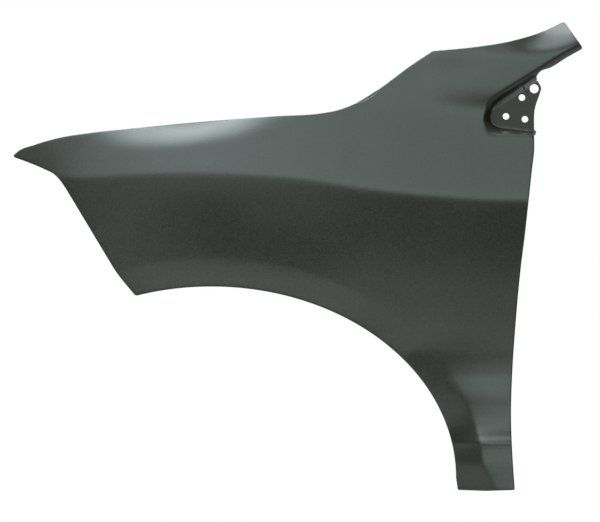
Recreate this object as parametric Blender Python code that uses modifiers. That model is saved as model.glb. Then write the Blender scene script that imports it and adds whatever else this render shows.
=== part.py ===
"""Left front fender of a car: one steel pressing in black primer.

It is drawn with X towards the car's rear, Y inboard and Z up, from the wheel centre on the panel's
outermost plane. The finished panel is then shifted, so that its zero is the seat of the reference bolt on
the hood flange. All sizes are in metres, and slopes are metres inboard for each metre up or along.
"""

import math
from dataclasses import dataclass

import bmesh
import bpy
import numpy as np
from mathutils import Vector
from mathutils.geometry import delaunay_2d_cdt
from mathutils.kdtree import KDTree

# Sheet
SHEET_THICKNESS = 0.0008
FOLD_RADIUS = 0.0025

# Wheel arch: an ellipse about the wheel centre, with a flare band round it
ARCH_HALF_LENGTH = 0.4405
ARCH_HEIGHT = 0.3445
ARCH_RETURN = 0.016
FLARE_WIDTH = 0.050
FLARE_SOFTNESS = 0.004
FLARE_TURN_REAR = 0.42
FLARE_TURN_TOP = -0.09
FLARE_REAR_END = (16.0, 40.0)
FLARE_TOP_START = (46.0, 62.0)
FLARE_TOP_END = (101.0, 118.0)
FLARE_FOOT = 0.022
FLARE_FOOT_SPAN = (-0.03, 0.03)

# Leg between the wheel and the door
LEG_DROP = 0.0216
LEG_WIDTH = 0.1026
LEG_SAG = 0.0018
TOE_STEP = 0.0032
DOOR_OVERHANG = 0.0349
SILL_TAB = 0.024
SILL_HOLE = 0.010
LEG_KICK = ((-0.03, 0.0760), (0.0, 0.0680), (0.030, 0.0602), (0.056, 0.0535), (0.0655, 0.0518),
            (0.0735, 0.0440), (0.084, 0.0370), (0.104, 0.0288), (0.125, 0.0226), (0.150, 0.0162),
            (0.168, 0.0095), (0.185, 0.0036), (0.200, 0.0010), (0.235, 0.0))
LEG_GUIDES = (0.052, 0.060, 0.067, 0.074, 0.081, 0.090, 0.104, 0.125)
KICK_HELD = 0.3
LEG_CROWN = 0.40
LEG_CROWN_WIDTH = 0.050

# Reach of the nose ahead of the wheel centre, and of the door edge's top behind it
NOSE_REACH = 0.356
DOOR_X = ARCH_HALF_LENGTH + TOE_STEP + LEG_WIDTH + DOOR_OVERHANG


def along(share):
    """Place along the panel, as a share of the nose's reach ahead of the wheel or the door's behind it."""
    return share * (DOOR_X if share > 0 else NOSE_REACH)


def placed(knots):
    """Knots of a curve along the panel, their places given as shares."""
    return tuple((along(share), value) for share, value in knots)


# Character line: its height above the wheel centre
CREASE_LINE = placed(((-0.7699, 0.5409), (-0.5829, 0.5420), (-0.3907, 0.5461), (-0.1986, 0.5486),
                      (-0.1025, 0.5490), (0.0580, 0.5468), (0.1757, 0.5434), (0.2748, 0.5384),
                      (0.3770, 0.5301), (0.4544, 0.5227), (0.5535, 0.5159), (0.6526, 0.5101),
                      (0.7393, 0.5063), (0.8322, 0.5022), (0.9809, 0.4999)))
CREASE_SOFTNESS = 0.005
SHOULDER_LEAN = 0.38

# Depth of the character line along the panel: the nose turns in
PLAN_LINE = placed(((-1.0000, 0.185), (-0.7697, 0.132), (-0.4213, 0.078), (0.0, 0.040), (0.2581, 0.024),
                    (0.5162, 0.020), (0.7743, 0.029), (0.9807, 0.041), (1.1528, 0.052)))

# Side below the character line: how far it tucks in with each height below the line
SIDE_TUCK_FRONT = ((0.0, 0.0), (0.015, -0.0002), (0.03, 0.0001), (0.045, 0.0010), (0.06, 0.0025),
                   (0.08, 0.0049), (0.10, 0.0075), (0.12, 0.0098), (0.14, 0.0117), (0.17, 0.0135),
                   (0.20, 0.0140), (0.30, 0.0140))
SIDE_TUCK_MIDDLE = ((0.0, 0.0), (0.03, 0.0009), (0.06, 0.0024), (0.08, 0.0038), (0.10, 0.0057),
                    (0.12, 0.0080), (0.14, 0.0103), (0.17, 0.0127), (0.20, 0.0133), (0.30, 0.0133))
SIDE_TUCK_REAR = ((0.0, 0.0), (0.04, 0.0044), (0.08, 0.0088), (0.10, 0.0107), (0.12, 0.0121),
                  (0.15, 0.0131), (0.18, 0.0131), (0.22, 0.0123), (0.25, 0.0108), (0.28, 0.0090),
                  (0.50, 0.0090))
SIDE_FRONT_END = (-0.03, 0.10)
SIDE_REAR_START = (0.15, 0.30)
SIDE_NOSE_FADE = (-0.19, 0.02)
SIDE_DOOR_GAIN = 0.5
SIDE_DOOR_SPAN = (0.44, 0.58)

# Nose and hood line
NOSE_HEIGHT = 0.5810
NOSE_BLUNT = (0.0014, -0.0038)
HOOD_LINE = placed(((-0.9772, 0.5880), (-0.8963, 0.5994), (-0.7801, 0.6115), (-0.6132, 0.6212),
                    (-0.4110, 0.6288), (-0.0570, 0.6410), (0.0951, 0.6469), (0.2004, 0.6514),
                    (0.3367, 0.6564), (0.3925, 0.6624), (0.4420, 0.6733), (0.5163, 0.6991),
                    (0.6155, 0.7416)))
COWL_CORNER = (along(0.6857), 0.7686)
ROLL_WIDTH = 0.050
ROLL_POWER = 2.3
ROLL_GUIDES = (0.25, 0.55, 0.9)
ROLL_LEAST = 0.08
ROLL_ALONG = placed(((-1.0, 0.0), (-0.8427, 0.04), (-0.7584, 0.08), (-0.5618, 0.10), (-0.3596, 0.48),
                     (-0.1573, 0.83), (0.0275, 0.60), (0.1514, 0.20), (0.2753, 0.02), (0.3441, 0.0),
                     (0.5162, 0.0), (0.8603, 0.0), (0.9635, 0.12), (1.0323, 0.45), (1.1012, 0.75)))

# Hood flange: a wall folded square off the skin, then a bolting strip running inboard
HOOD_WALL = 0.012
HOOD_STRIP = 0.024
STRIP_NOSE_SHARE = 0.25
STRIP_TAPER = (0.036, 0.090)
BOLT_HOLE = 0.009
BOLT_PAD = 0.034
BOLT_STATIONS = (along(-0.6601), along(-0.1404), along(0.2581), along(0.5764))
REFERENCE_BOLT = 2
SEAT_OFFSET = 0.010
STRIP_LIFT = 0.0065
STRIP_LIFT_SPAN = (along(0.4301), along(0.4680), along(0.4955), along(0.5368))

# Pillar extension above the door edge
SAIL_TOP = placed(((0.8137, 0.7757), (0.9313, 0.7870), (1.0305, 0.8046)))
SAIL_END_TOP = (DOOR_X + 0.0538, 0.8216)
SAIL_TOP_BEYOND = (DOOR_X + 0.0988, 0.8440)
SAIL_EDGE_DROP = ((0.0110, 0.0012), (0.0294, 0.0056), (0.0573, 0.0057), (0.0883, 0.0076))
SAIL_RETURN = 0.010
SAIL_CREASE = placed(((0.6435, 0.7520), (0.7089, 0.7580), (0.7829, 0.7610), (0.8999, 0.7645),
                      (1.0031, 0.7686), (1.0977, 0.7720)))
SAIL_CREASE_BEND = placed(((0.6435, 0.10), (0.7829, 0.15), (0.9463, 0.25), (1.0323, 0.38),
                           (1.0977, 0.45)))
SAIL_CREASE_SOFTNESS = 0.005
SAIL_CREASE_GUIDE = 0.007
SAIL_CREASE_START = 0.030
VALLEY_LINE = placed(((0.4301, 0.6760), (0.5695, 0.6730), (0.6779, 0.6700), (0.8482, 0.6660),
                      (1.0323, 0.6600)))
VALLEY_BEND = placed(((0.4301, 0.0), (0.5695, -0.08), (0.6779, -0.16), (0.7743, -0.42),
                      (0.8482, -0.55), (0.9119, -0.60), (0.9807, -0.60)))
VALLEY_SOFTNESS = 0.012
VALLEY_GUIDE = 0.012
VALLEY_RISE = 0.024
VALLEY_RECOVERY = placed(((0.5695, 0.1), (0.6779, 0.3), (0.7743, 0.72), (0.8603, 0.75)))
VALLEY_RECOVERY_SOFTNESS = 0.014

# Sunk plate under the pillar extension
UNDERSIDE_START = (DOOR_X - 0.0705, 0.6822)
UNDERSIDE_SLOPE = 0.622
UNDERSIDE_COSINE = 1.0 / math.hypot(1.0, UNDERSIDE_SLOPE)
UNDERSIDE_ROLL = 0.009
UNDERSIDE_TURN = 1.3
POCKET_FLOOR = 0.6156
POCKET_FLOOR_SLOPE = -0.1137
POCKET_LENGTH = 0.0915
POCKET_CORNER = 0.020
POCKET_WALL = 0.0095
POCKET_LEFT_EASE = 1.5
PLATE_SINK = 0.0135
PLATE_CENTRE = (DOOR_X - 0.0362, 0.690)
PLATE_END = (0.010, 0.022)
GROOVE_WIDTH = 0.0055
GROOVE_DEPTH = 0.0022
NOTCH_RADIUS = 0.005
NOTCH_ROOT = (0.0030, 0.0063)
EAR_HOLE = 0.0162
EAR_CENTRE_UP = 0.0850
EAR_EDGE = ((0.0132, 0.0015), (0.0081, -0.0148), (0.0031, -0.0287), (0.0008, -0.0387), (0.0, -0.0490))
EAR_STEP = 0.0020
JOGGLE_START = (-0.0167, -0.0055)
JOGGLE_SLANT = (0.46, -0.89)
JOGGLE_WIDTH = 0.0038
CLIP_HOLE = 0.0117
CLIP_CENTRES = ((-0.0221, 0.0691), (-0.0507, 0.0353), (-0.0167, 0.0301))

# Door edge, from the sunk plate down to the sill
DOOR_TOP = 0.6160
DOOR_LUG = ((0.0, 0.0110), (0.0034, 0.0080), (0.0027, 0.0035), (0.0, 0.0))
DOOR_EDGE = ((0.0, 0.5900), (-0.0040, 0.5544), (-0.0102, 0.4968), (-0.0165, 0.4392), (-0.0237, 0.3816),
             (-0.0336, 0.2754), (-0.0399, 0.1800), (-0.0417, 0.1170), (-0.0381, 0.0234))
DOOR_RETURN = 0.012

# Lamp and bumper edges
FRONT_CORNER_X = along(-0.3831)
BUMPER_BEND = (along(-0.4767), 0.3672)
LAMP_EDGE = placed(((-0.7194, 0.5112), (-0.7447, 0.5256), (-0.7750, 0.5400), (-0.8003, 0.5481),
                    (-0.8357, 0.5544), (-0.9317, 0.5688)))
FRONT_RETURN = 0.014

# Rounding of the edge's corners, as the length that each takes off both its sides
SAIL_END_CORNER = 0.005
SAIL_FOOT_CORNER = 0.006
EAR_FOOT_CORNER = 0.004
SILL_CORNER = 0.003
ARCH_FRONT_CORNER = 0.004
BUMPER_BEND_CORNER = 0.020

# Spacing of the points that the skin is built on
EDGE_STEP = 0.018
BENT_STEP = 0.0126
EAR_STEP_ALONG = 0.009
LUG_STEP = 0.0045
SILL_STEP = 0.036
FILL_STEP = 0.025
FINE_STEP = 0.0045
GUIDE_GAP = 0.0055
GAP_SHARE = 0.6
GUIDE_SHARE = 1.3
CORNER_POINTS = 2
FOLD_SEGMENTS = 2
HOLE_SIDES = 24
CUTTER_REACH = 0.012
MITRE_LIMIT = 3.0
LEAN_REACH = 0.002
RETURN_ANGLE = math.radians(92)

PRIMER_COLOUR = (0.030, 0.034, 0.033, 1.0)
PRIMER_ROUGHNESS = 0.42
SHADE_ANGLE = math.radians(40)


@dataclass
class Stretch:
    """One stretch of the trimmed edge: its points, the corner at its end and its folded return."""

    points: np.ndarray
    corner: float
    wall: float
    strip: float = 0.0
    square: bool = False


def values_at(knots, where):
    """Smooth curve through (place, value) knots, level beyond both ends."""
    places, values = np.array(knots).T
    slopes = np.gradient(values, places)
    left = np.clip(np.searchsorted(places, where) - 1, 0, len(places) - 2)
    span = places[left + 1] - places[left]
    t = np.clip((where - places[left]) / span, 0.0, 1.0)
    start = values[left] * (2 * t**3 - 3 * t**2 + 1) + slopes[left] * span * (t**3 - 2 * t**2 + t)
    end = values[left + 1] * (3 * t**2 - 2 * t**3) + slopes[left + 1] * span * (t**3 - t**2)
    return start + end


def ramp(distance, softness):
    """Nothing below zero and one for one above it, rounded over the softness."""
    return 0.5 * (distance + np.sqrt(distance**2 + softness**2))


def ease(value, low=0.0, high=1.0):
    """Zero up to low, one from high, with a smooth step between them."""
    t = np.clip((value - low) / (high - low), 0.0, 1.0)
    return t * t * (3 - 2 * t)


def spline_points(points, step):
    """Points a step apart on a smooth curve through the given ones."""
    points = np.array(points, float)
    along = np.concatenate([[0.0], np.cumsum(np.linalg.norm(np.diff(points, axis=0), axis=1))])
    count = max(1, round(along[-1] / step))
    places = np.linspace(0.0, along[-1], count + 1)
    if len(points) == 2:
        return points[0] + (points[1] - points[0]) * (places / along[-1])[:, None]
    columns = [values_at(np.column_stack([along, points[:, axis]]), places) for axis in (0, 1)]
    return np.column_stack(columns)


def arch_point(angle):
    """Point of the wheel arch at an angle from the rear, in radians."""
    return np.array([ARCH_HALF_LENGTH * math.cos(angle), ARCH_HEIGHT * math.sin(angle)])


def arch_distance(x, z):
    """Distance outside the wheel arch, which runs straight down below its centre, and degrees round it."""
    up = np.maximum(z, 0.0)
    scaled = np.hypot(x / ARCH_HALF_LENGTH, up / ARCH_HEIGHT)
    slope = np.hypot(x / ARCH_HALF_LENGTH**2, up / ARCH_HEIGHT**2) / scaled
    angle = np.degrees(np.arctan2(up / ARCH_HEIGHT, x / ARCH_HALF_LENGTH))
    return (scaled - 1.0) / slope, angle


def top_height(x):
    """Height of the top edge: the hood line up to the cowl corner, then the pillar extension."""
    hood = values_at(((-NOSE_REACH, NOSE_HEIGHT), *HOOD_LINE, COWL_CORNER), x)
    sail = values_at((COWL_CORNER, *SAIL_TOP, SAIL_END_TOP, SAIL_TOP_BEYOND), x)
    return np.where(x < COWL_CORNER[0], hood, sail)


def underside_height(x):
    """Height of the pillar extension's lower edge."""
    return UNDERSIDE_START[1] + UNDERSIDE_SLOPE * (x - UNDERSIDE_START[0])


def side_depth(x, z):
    """The side: character line, leaning shoulder above it and the side that tucks in below it."""
    crease = values_at(CREASE_LINE, x)
    above = ramp(z - crease, CREASE_SOFTNESS)
    below = ramp(crease - z, CREASE_SOFTNESS)
    front = 1.0 - ease(x, *SIDE_FRONT_END)
    rear = ease(x, *SIDE_REAR_START)
    tuck = values_at(SIDE_TUCK_FRONT, below) * front + values_at(SIDE_TUCK_REAR, below) * rear
    tuck += values_at(SIDE_TUCK_MIDDLE, below) * (1.0 - front - rear)
    tuck *= ease(x, *SIDE_NOSE_FADE) * (1.0 + SIDE_DOOR_GAIN * ease(x, *SIDE_DOOR_SPAN))
    return values_at(PLAN_LINE, x) + SHOULDER_LEAN * above + tuck


def flare_width(z):
    """Width of the flare band, which widens at the leg's foot."""
    return FLARE_WIDTH + FLARE_FOOT * (1.0 - ease(z, *FLARE_FOOT_SPAN))


def flare_depth(x, z):
    """The flare band round the arch, and behind it the crowned leg that kicks outwards to the sill."""
    distance, angle = arch_distance(x, z)
    width = flare_width(z)
    rear = 1.0 - ease(angle, *FLARE_REAR_END)
    top = ease(angle, *FLARE_TOP_START) * (1.0 - ease(angle, *FLARE_TOP_END))
    inside_line = ramp(width - distance, FLARE_SOFTNESS)
    band = (FLARE_TURN_REAR * rear + FLARE_TURN_TOP * top) * inside_line
    crown = LEG_CROWN * rear * ramp(width + LEG_CROWN_WIDTH / 2 - distance, LEG_CROWN_WIDTH)
    held = KICK_HELD * rear * np.clip(inside_line / width, 0.0, 1.0)
    return band + crown - values_at(LEG_KICK, z) * (1.0 - held)


def top_depth(x, z):
    """What turns in above the shoulder: the roll at the top edge, and the extension's valley and crease."""
    roll_in = np.maximum(ROLL_WIDTH - (top_height(x) - z), 0.0) / ROLL_WIDTH
    roll = values_at(ROLL_ALONG, x) * ROLL_WIDTH * roll_in**ROLL_POWER
    valley = values_at(VALLEY_LINE, x)
    valley_bend = values_at(VALLEY_BEND, x)
    dip = valley_bend * ramp(z - valley, VALLEY_SOFTNESS)
    recovery = values_at(VALLEY_RECOVERY, x) * ramp(z - valley - VALLEY_RISE, VALLEY_RECOVERY_SOFTNESS)
    dip -= valley_bend * recovery
    crease = values_at(SAIL_CREASE_BEND, x) * ramp(z - values_at(SAIL_CREASE, x), SAIL_CREASE_SOFTNESS)
    on_sail = ease(x, SAIL_CREASE[0][0] - SAIL_CREASE_START, SAIL_CREASE[0][0])
    return roll + dip + crease * on_sail


def pocket_inset(x, z):
    """Distance inside the rim of the sunk plate, level past the corner radius."""
    floor = z - POCKET_FLOOR - POCKET_FLOOR_SLOPE * (x - DOOR_X)
    roof = (underside_height(x) - z) * UNDERSIDE_COSINE
    left = (x - (DOOR_X - POCKET_LENGTH)) / POCKET_LEFT_EASE
    gaps = [np.maximum(POCKET_CORNER - gap, 0.0) for gap in (floor, roof, left)]
    return POCKET_CORNER - np.sqrt(gaps[0] ** 2 + gaps[1] ** 2 + gaps[2] ** 2)


def plate_depth(x, z):
    """The sunk plate: flat, with a groove along its upper side and a step to the ear."""
    centre = np.array([PLATE_CENTRE[0]]), np.array([PLATE_CENTRE[1]])
    level = float((side_depth(*centre) + top_depth(*centre))[0]) + PLATE_SINK
    from_roof = (underside_height(x) - z) * UNDERSIDE_COSINE - POCKET_WALL
    groove = GROOVE_DEPTH * (1.0 - ease(from_roof, 0.0, GROOVE_WIDTH))
    start_x = DOOR_X + JOGGLE_START[0]
    start_z = POCKET_FLOOR + EAR_CENTRE_UP + JOGGLE_START[1]
    beyond = -(x - start_x) * JOGGLE_SLANT[1] + (z - start_z) * JOGGLE_SLANT[0]
    return level + groove + EAR_STEP * ease(beyond, 0.0, JOGGLE_WIDTH)


def skin_depth(x, z):
    """Depth inboard of the outer face at places in the side view."""
    x = np.asarray(x, float)
    z = np.asarray(z, float)
    open_skin = side_depth(x, z) + flare_depth(x, z) + top_depth(x, z)
    from_edge = (z - underside_height(x)) * UNDERSIDE_COSINE
    rolled = np.clip(1.0 - from_edge / UNDERSIDE_ROLL, 0.0, 2.0)
    past_pocket = ease(x, DOOR_X - POCKET_LENGTH, UNDERSIDE_START[0] + POCKET_CORNER)
    near_edge = past_pocket * ease(z, POCKET_FLOOR, POCKET_FLOOR + POCKET_CORNER)
    open_skin = open_skin + UNDERSIDE_TURN * UNDERSIDE_ROLL * rolled**2 / 2 * near_edge
    sunk = ease(pocket_inset(x, z), 0.0, POCKET_WALL) * (1.0 - ease(x - DOOR_X, *PLATE_END))
    return open_skin * (1.0 - sunk) + plate_depth(x, z) * sunk


def ear_centre():
    """Centre of the ear's hole."""
    return np.array([DOOR_X, POCKET_FLOOR + EAR_CENTRE_UP])


def sail_underside():
    """Lower edge of the pillar extension, from the notch above the ear to its rear foot."""
    root_x = DOOR_X + NOTCH_ROOT[0]
    notch = (root_x, underside_height(root_x) - NOTCH_ROOT[1])
    places = [(DOOR_X + beyond, drop) for beyond, drop in SAIL_EDGE_DROP]
    return [notch] + [(x, underside_height(x) - drop) for x, drop in places]


def hood_places():
    """Places along the hood line, with one straight chord across each bolt pad."""
    places = np.linspace(-NOSE_REACH, COWL_CORNER[0], round((COWL_CORNER[0] + NOSE_REACH) / EDGE_STEP))
    for bolt in BOLT_STATIONS:
        places = places[np.abs(places - bolt) > BOLT_PAD / 2 + EDGE_STEP * 0.3]
        places = np.concatenate([places, [bolt - BOLT_PAD / 2, bolt + BOLT_PAD / 2]])
    return np.sort(places)


def top_points(places):
    """Points of the top edge at places along the panel."""
    return np.column_stack([places, top_height(places)])


def edge_stretches():
    """The trimmed edge, clockwise from the nose in the side view."""
    ear = ear_centre()
    underside = sail_underside()
    nose = np.array([-NOSE_REACH, NOSE_HEIGHT])
    chin = nose + np.array(NOSE_BLUNT)
    leg_rear = np.array([ARCH_HALF_LENGTH + TOE_STEP + LEG_WIDTH, -LEG_DROP])
    toe = leg_rear - np.array([LEG_WIDTH, 0.0])
    leg_middle = (leg_rear + toe) / 2 - np.array([0.0, LEG_SAG])
    front_angle = math.acos(FRONT_CORNER_X / ARCH_HALF_LENGTH)
    arch = [arch_point(angle) for angle in np.linspace(0.0, front_angle, 60)]
    door_top = np.array([DOOR_X, DOOR_TOP])
    lug = [door_top + offset for offset in DOOR_LUG]
    door = [door_top] + [np.array([DOOR_X + dx, z]) for dx, z in DOOR_EDGE] + [leg_rear]
    ear_edge = [ear + offset for offset in EAR_EDGE] + [lug[0]]
    sail_count = round((SAIL_END_TOP[0] - COWL_CORNER[0]) / EDGE_STEP)
    sail_places = np.linspace(COWL_CORNER[0], SAIL_END_TOP[0], sail_count)
    return [
        Stretch(top_points(hood_places()), 0.0, HOOD_WALL, HOOD_STRIP, square=True),
        Stretch(top_points(sail_places), SAIL_END_CORNER, SAIL_RETURN),
        Stretch(spline_points([SAIL_END_TOP, underside[-1]], EDGE_STEP), SAIL_FOOT_CORNER, SAIL_RETURN),
        Stretch(spline_points(underside[::-1], BENT_STEP), NOTCH_RADIUS, SAIL_RETURN),
        Stretch(spline_points([underside[0], ear_edge[0]], EDGE_STEP), EAR_FOOT_CORNER, 0.0),
        Stretch(spline_points(ear_edge, EAR_STEP_ALONG), 0.0, 0.0),
        Stretch(spline_points(lug, LUG_STEP), 0.0, 0.0),
        Stretch(spline_points(door, EDGE_STEP), SILL_CORNER, DOOR_RETURN),
        Stretch(spline_points([leg_rear, leg_middle], SILL_STEP), 0.0, SILL_TAB),
        Stretch(spline_points([leg_middle, toe], SILL_STEP), SILL_CORNER, SILL_TAB),
        Stretch(spline_points([toe, arch[0]], EDGE_STEP), 0.0, ARCH_RETURN),
        Stretch(spline_points(arch, EDGE_STEP), ARCH_FRONT_CORNER, ARCH_RETURN),
        Stretch(spline_points([arch[-1], BUMPER_BEND], EDGE_STEP), BUMPER_BEND_CORNER, FRONT_RETURN),
        Stretch(spline_points([BUMPER_BEND, LAMP_EDGE[0]], EDGE_STEP), 0.0, FRONT_RETURN),
        Stretch(spline_points([*LAMP_EDGE, chin], BENT_STEP), 0.0, FRONT_RETURN),
        Stretch(spline_points([chin, nose], EDGE_STEP), 0.0, FRONT_RETURN),
    ]


def cut_short(points, length):
    """The points without their last stretch of a length, ending on the line there."""
    corner = points[-1]
    far = np.linalg.norm(points - corner, axis=1)
    kept = points[far > length * 1.3]
    towards = kept[-1] - corner
    return np.vstack([kept, corner + towards * (length / np.linalg.norm(towards))])


def trimmed_edge():
    """Closed edge as points, with the wall, strip and squareness of the side that starts at each point."""
    stretches = edge_stretches()
    points, walls, strips, squares = [], [], [], []
    for index, stretch in enumerate(stretches):
        following = stretches[(index + 1) % len(stretches)]
        line = stretch.points
        if stretches[index - 1].corner:
            line = cut_short(line[::-1], stretches[index - 1].corner)[::-1]
        if stretch.corner:
            line = cut_short(line, stretch.corner)
            end = cut_short(following.points[::-1], stretch.corner)[-1]
            t = np.linspace(0.0, 1.0, CORNER_POINTS + 2)[:-1, None]
            corner = stretch.points[-1]
            bend = line[-1] * (1 - t) ** 2 + corner * 2 * t * (1 - t) + end * t**2
            line = np.vstack([line[:-1], bend, end])
        points.append(line[:-1])
        walls += [stretch.wall] * (len(line) - 1)
        strips += [stretch.strip] * (len(line) - 1)
        squares += [stretch.square] * (len(line) - 1)
    return np.vstack(points), np.array(walls), np.array(strips), np.array(squares)


def inward_normals(points):
    """Normals into the panel at the edge's points, lengthened so that an offset keeps sides parallel."""
    along = np.roll(points, -1, axis=0) - points
    along /= np.linalg.norm(along, axis=1)[:, None]
    sides = np.column_stack([along[:, 1], -along[:, 0]])
    pairs = sides + np.roll(sides, 1, axis=0)
    spread = np.maximum(1.0 + np.sum(sides * np.roll(sides, 1, axis=0), axis=1), 2.0 / MITRE_LIMIT)
    return pairs / spread[:, None]


def edge_lean(points, normals):
    """How steeply the skin runs inboard as it reaches the edge, as an angle."""
    unit = normals / np.linalg.norm(normals, axis=1)[:, None]
    inner = points + unit * LEAN_REACH
    rise = skin_depth(*points.T) - skin_depth(*inner.T)
    return np.arctan2(rise, LEAN_REACH)


def fold_moves(lean, is_square, wall, strip, lift, segments):
    """Moves that fold the edge, each a direction from outwards towards inboard and a length."""
    square = math.pi / 2 + lean if is_square else RETURN_ANGLE
    turn = (square - lean) / segments
    chord = 2 * FOLD_RADIUS * math.sin(turn / 2)
    moves = [(lean + turn * (step + 0.5), chord) for step in range(segments)]
    moves.append((square, wall - FOLD_RADIUS))
    if strip:
        moves.append(((square + lift) / 2, FOLD_RADIUS))
        moves.append((lift, strip))
    return moves


def fold_offsets(lean, is_square, wall, strip, lift, segments):
    """Distances outwards and inboard of the folded edge's rows, from the skin's own edge."""
    rows = [(0.0, 0.0)]
    for angle, length in fold_moves(lean, is_square, wall, strip, lift, segments):
        rows.append((rows[-1][0] + length * math.cos(angle), rows[-1][1] + length * math.sin(angle)))
    return rows


def arch_row(offset, first, last, step):
    """Guide points at an offset outside the arch, between two angles in degrees."""
    count = max(2, round(math.radians(last - first) * ARCH_HALF_LENGTH / step))
    angles = np.radians(np.linspace(first, last, count))
    normals = np.column_stack([np.cos(angles) / ARCH_HALF_LENGTH, np.sin(angles) / ARCH_HEIGHT])
    normals /= np.linalg.norm(normals, axis=1)[:, None]
    return np.array([arch_point(angle) for angle in angles]) + normals * offset


def guide_rows():
    """Rows of points along the folds and rolls of the skin."""
    rows = []
    places = np.arange(CREASE_LINE[0][0] - EDGE_STEP, DOOR_X, EDGE_STEP)
    for offset in (0.0, -GUIDE_SHARE * CREASE_SOFTNESS, GUIDE_SHARE * CREASE_SOFTNESS):
        rows.append(np.column_stack([places, values_at(CREASE_LINE, places) + offset]))
    for offset in (0.0, -GUIDE_SHARE * FLARE_SOFTNESS, GUIDE_SHARE * FLARE_SOFTNESS):
        rows.append(arch_row(FLARE_WIDTH + offset, 0.0, FLARE_TOP_END[1], EDGE_STEP))
        below = np.arange(-LEG_DROP, 0.0, EDGE_STEP / 2)
        rows.append(np.column_stack([ARCH_HALF_LENGTH + flare_width(below) + offset, below]))
    rolled = np.arange(-NOSE_REACH, SAIL_END_TOP[0], EDGE_STEP)
    rolled = rolled[values_at(ROLL_ALONG, rolled) > ROLL_LEAST]
    for share in ROLL_GUIDES:
        rows.append(np.column_stack([rolled, top_height(rolled) - ROLL_WIDTH * share]))
    lines = [(SAIL_CREASE, offset) for offset in (0.0, SAIL_CREASE_GUIDE, -SAIL_CREASE_GUIDE)]
    lines += [(VALLEY_LINE[1:], offset) for offset in (0.0, VALLEY_GUIDE, VALLEY_RISE)]
    for line, offset in lines:
        places = np.arange(line[0][0], line[-1][0], EDGE_STEP)
        rows.append(np.column_stack([places, values_at(line, places) + offset]))
    leg_start = ARCH_HALF_LENGTH + FLARE_WIDTH
    across = np.arange(leg_start, leg_start + LEG_WIDTH, BENT_STEP)
    for height in LEG_GUIDES:
        rows.append(np.column_stack([across, np.full(len(across), height)]))
    return rows


def grid_points(low, high, step):
    """Staggered points over a rectangle, three rows for each two steps or so."""
    rise = step * math.sqrt(3) / 2
    heights = np.arange(low[1], high[1], rise)
    places = np.arange(low[0], high[0], step)
    return np.vstack([np.column_stack([places + step / 2 * (row % 2), np.full(len(places), height)])
                      for row, height in enumerate(heights)])


def inside(points, loop):
    """Which points lie inside a closed line."""
    ends = np.roll(loop, -1, axis=0)
    within = np.zeros(len(points), bool)
    for (x0, z0), (x1, z1) in zip(loop, ends):
        crosses = (z0 > points[:, 1]) != (z1 > points[:, 1])
        if crosses.any():
            at = x0 + (points[:, 1] - z0) * (x1 - x0) / (z1 - z0 if z1 != z0 else 1.0)
            within ^= crosses & (points[:, 0] < at)
    return within


def far_from(points, others, gap):
    """The points that lie at least a gap from every other one given."""
    tree = KDTree(len(others))
    for index, (x, z) in enumerate(others):
        tree.insert((x, z, 0.0), index)
    tree.balance()
    return np.array([point for point in points if tree.find((*point, 0.0))[2] > gap]).reshape(-1, 2)


def skin_points(loop):
    """Points that the skin is built on, inside its edge: the sunk plate's rim, fold rows, then filling."""
    sides = zip(loop, np.roll(loop, -1, axis=0))
    kept = np.vstack([spline_points([start, end], FINE_STEP / 2) for start, end in sides])
    added = []
    pocket_low = (DOOR_X - POCKET_LENGTH - POCKET_WALL, POCKET_FLOOR - POCKET_CORNER)
    pocket = grid_points(pocket_low, (DOOR_X + SAIL_EDGE_DROP[-1][0], SAIL_END_TOP[1]), FINE_STEP)
    inset = pocket_inset(*pocket.T)
    roll_reach = UNDERSIDE_ROLL * GUIDE_SHARE
    below_roll = pocket[:, 1] - underside_height(pocket[:, 0]) < roll_reach
    on_wall = (inset > -FINE_STEP / 2) & (inset < POCKET_WALL + GROOVE_WIDTH * GUIDE_SHARE)
    on_roll = below_roll & (inset > -roll_reach) & (pocket[:, 0] > UNDERSIDE_START[0])
    groups = [(pocket[on_wall | on_roll], FINE_STEP * GAP_SHARE)]
    groups += [(row, GUIDE_GAP) for row in guide_rows()]
    groups.append((grid_points(loop.min(axis=0), loop.max(axis=0), FILL_STEP), FILL_STEP * GAP_SHARE))
    for points, gap in groups:
        points = points[inside(points, loop)]
        points = far_from(points, kept, gap)
        added.append(points)
        kept = np.vstack([kept, points])
    return np.vstack(added)


def formed_skin(bm, loop):
    """Triangulates the blank inside its edge and draws it to depth; returns the edge's vertices."""
    points = np.vstack([loop, skin_points(loop)])
    flat = [Vector((x, z)) for x, z in points]
    sides = [(index, (index + 1) % len(loop)) for index in range(len(loop))]
    places, _, triangles, sources, _, _ = delaunay_2d_cdt(flat, sides, [], 1, 1e-7)
    depths = skin_depth(*np.array([tuple(place) for place in places]).T)
    verts = [bm.verts.new((place.x, depth, place.y)) for place, depth in zip(places, depths)]
    for corners in triangles:
        bm.faces.new([verts[corner] for corner in corners])
    rim = {source: vert for vert, given in zip(verts, sources) for source in given}
    return [rim[index] for index in range(len(loop))]


def folded_row(bm, row, offsets, points, normals, insets, depths, has_side):
    """Extrudes the row's sides and sets the new vertices at the next offsets; returns the new row."""
    count = len(row)
    pairs = [(row[index], row[(index + 1) % count]) for index in range(count) if has_side[index]]
    sides = [bm.edges.get(pair) for pair in pairs]
    grown = bmesh.ops.extrude_edge_only(bm, edges=sides)["geom"]
    place = {vert: index for index, vert in enumerate(row) if vert}
    new_row = [None] * count
    for vert in [item for item in grown if isinstance(item, bmesh.types.BMVert)]:
        old = next(edge.other_vert(vert) for edge in vert.link_edges if edge.other_vert(vert) in place)
        index = place[old]
        outward, inboard = offsets[index]
        x, z = points[index] + normals[index] * (insets[index] - outward)
        vert.co = (x, depths[index] + inboard, z)
        new_row[index] = vert
    return new_row


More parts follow.
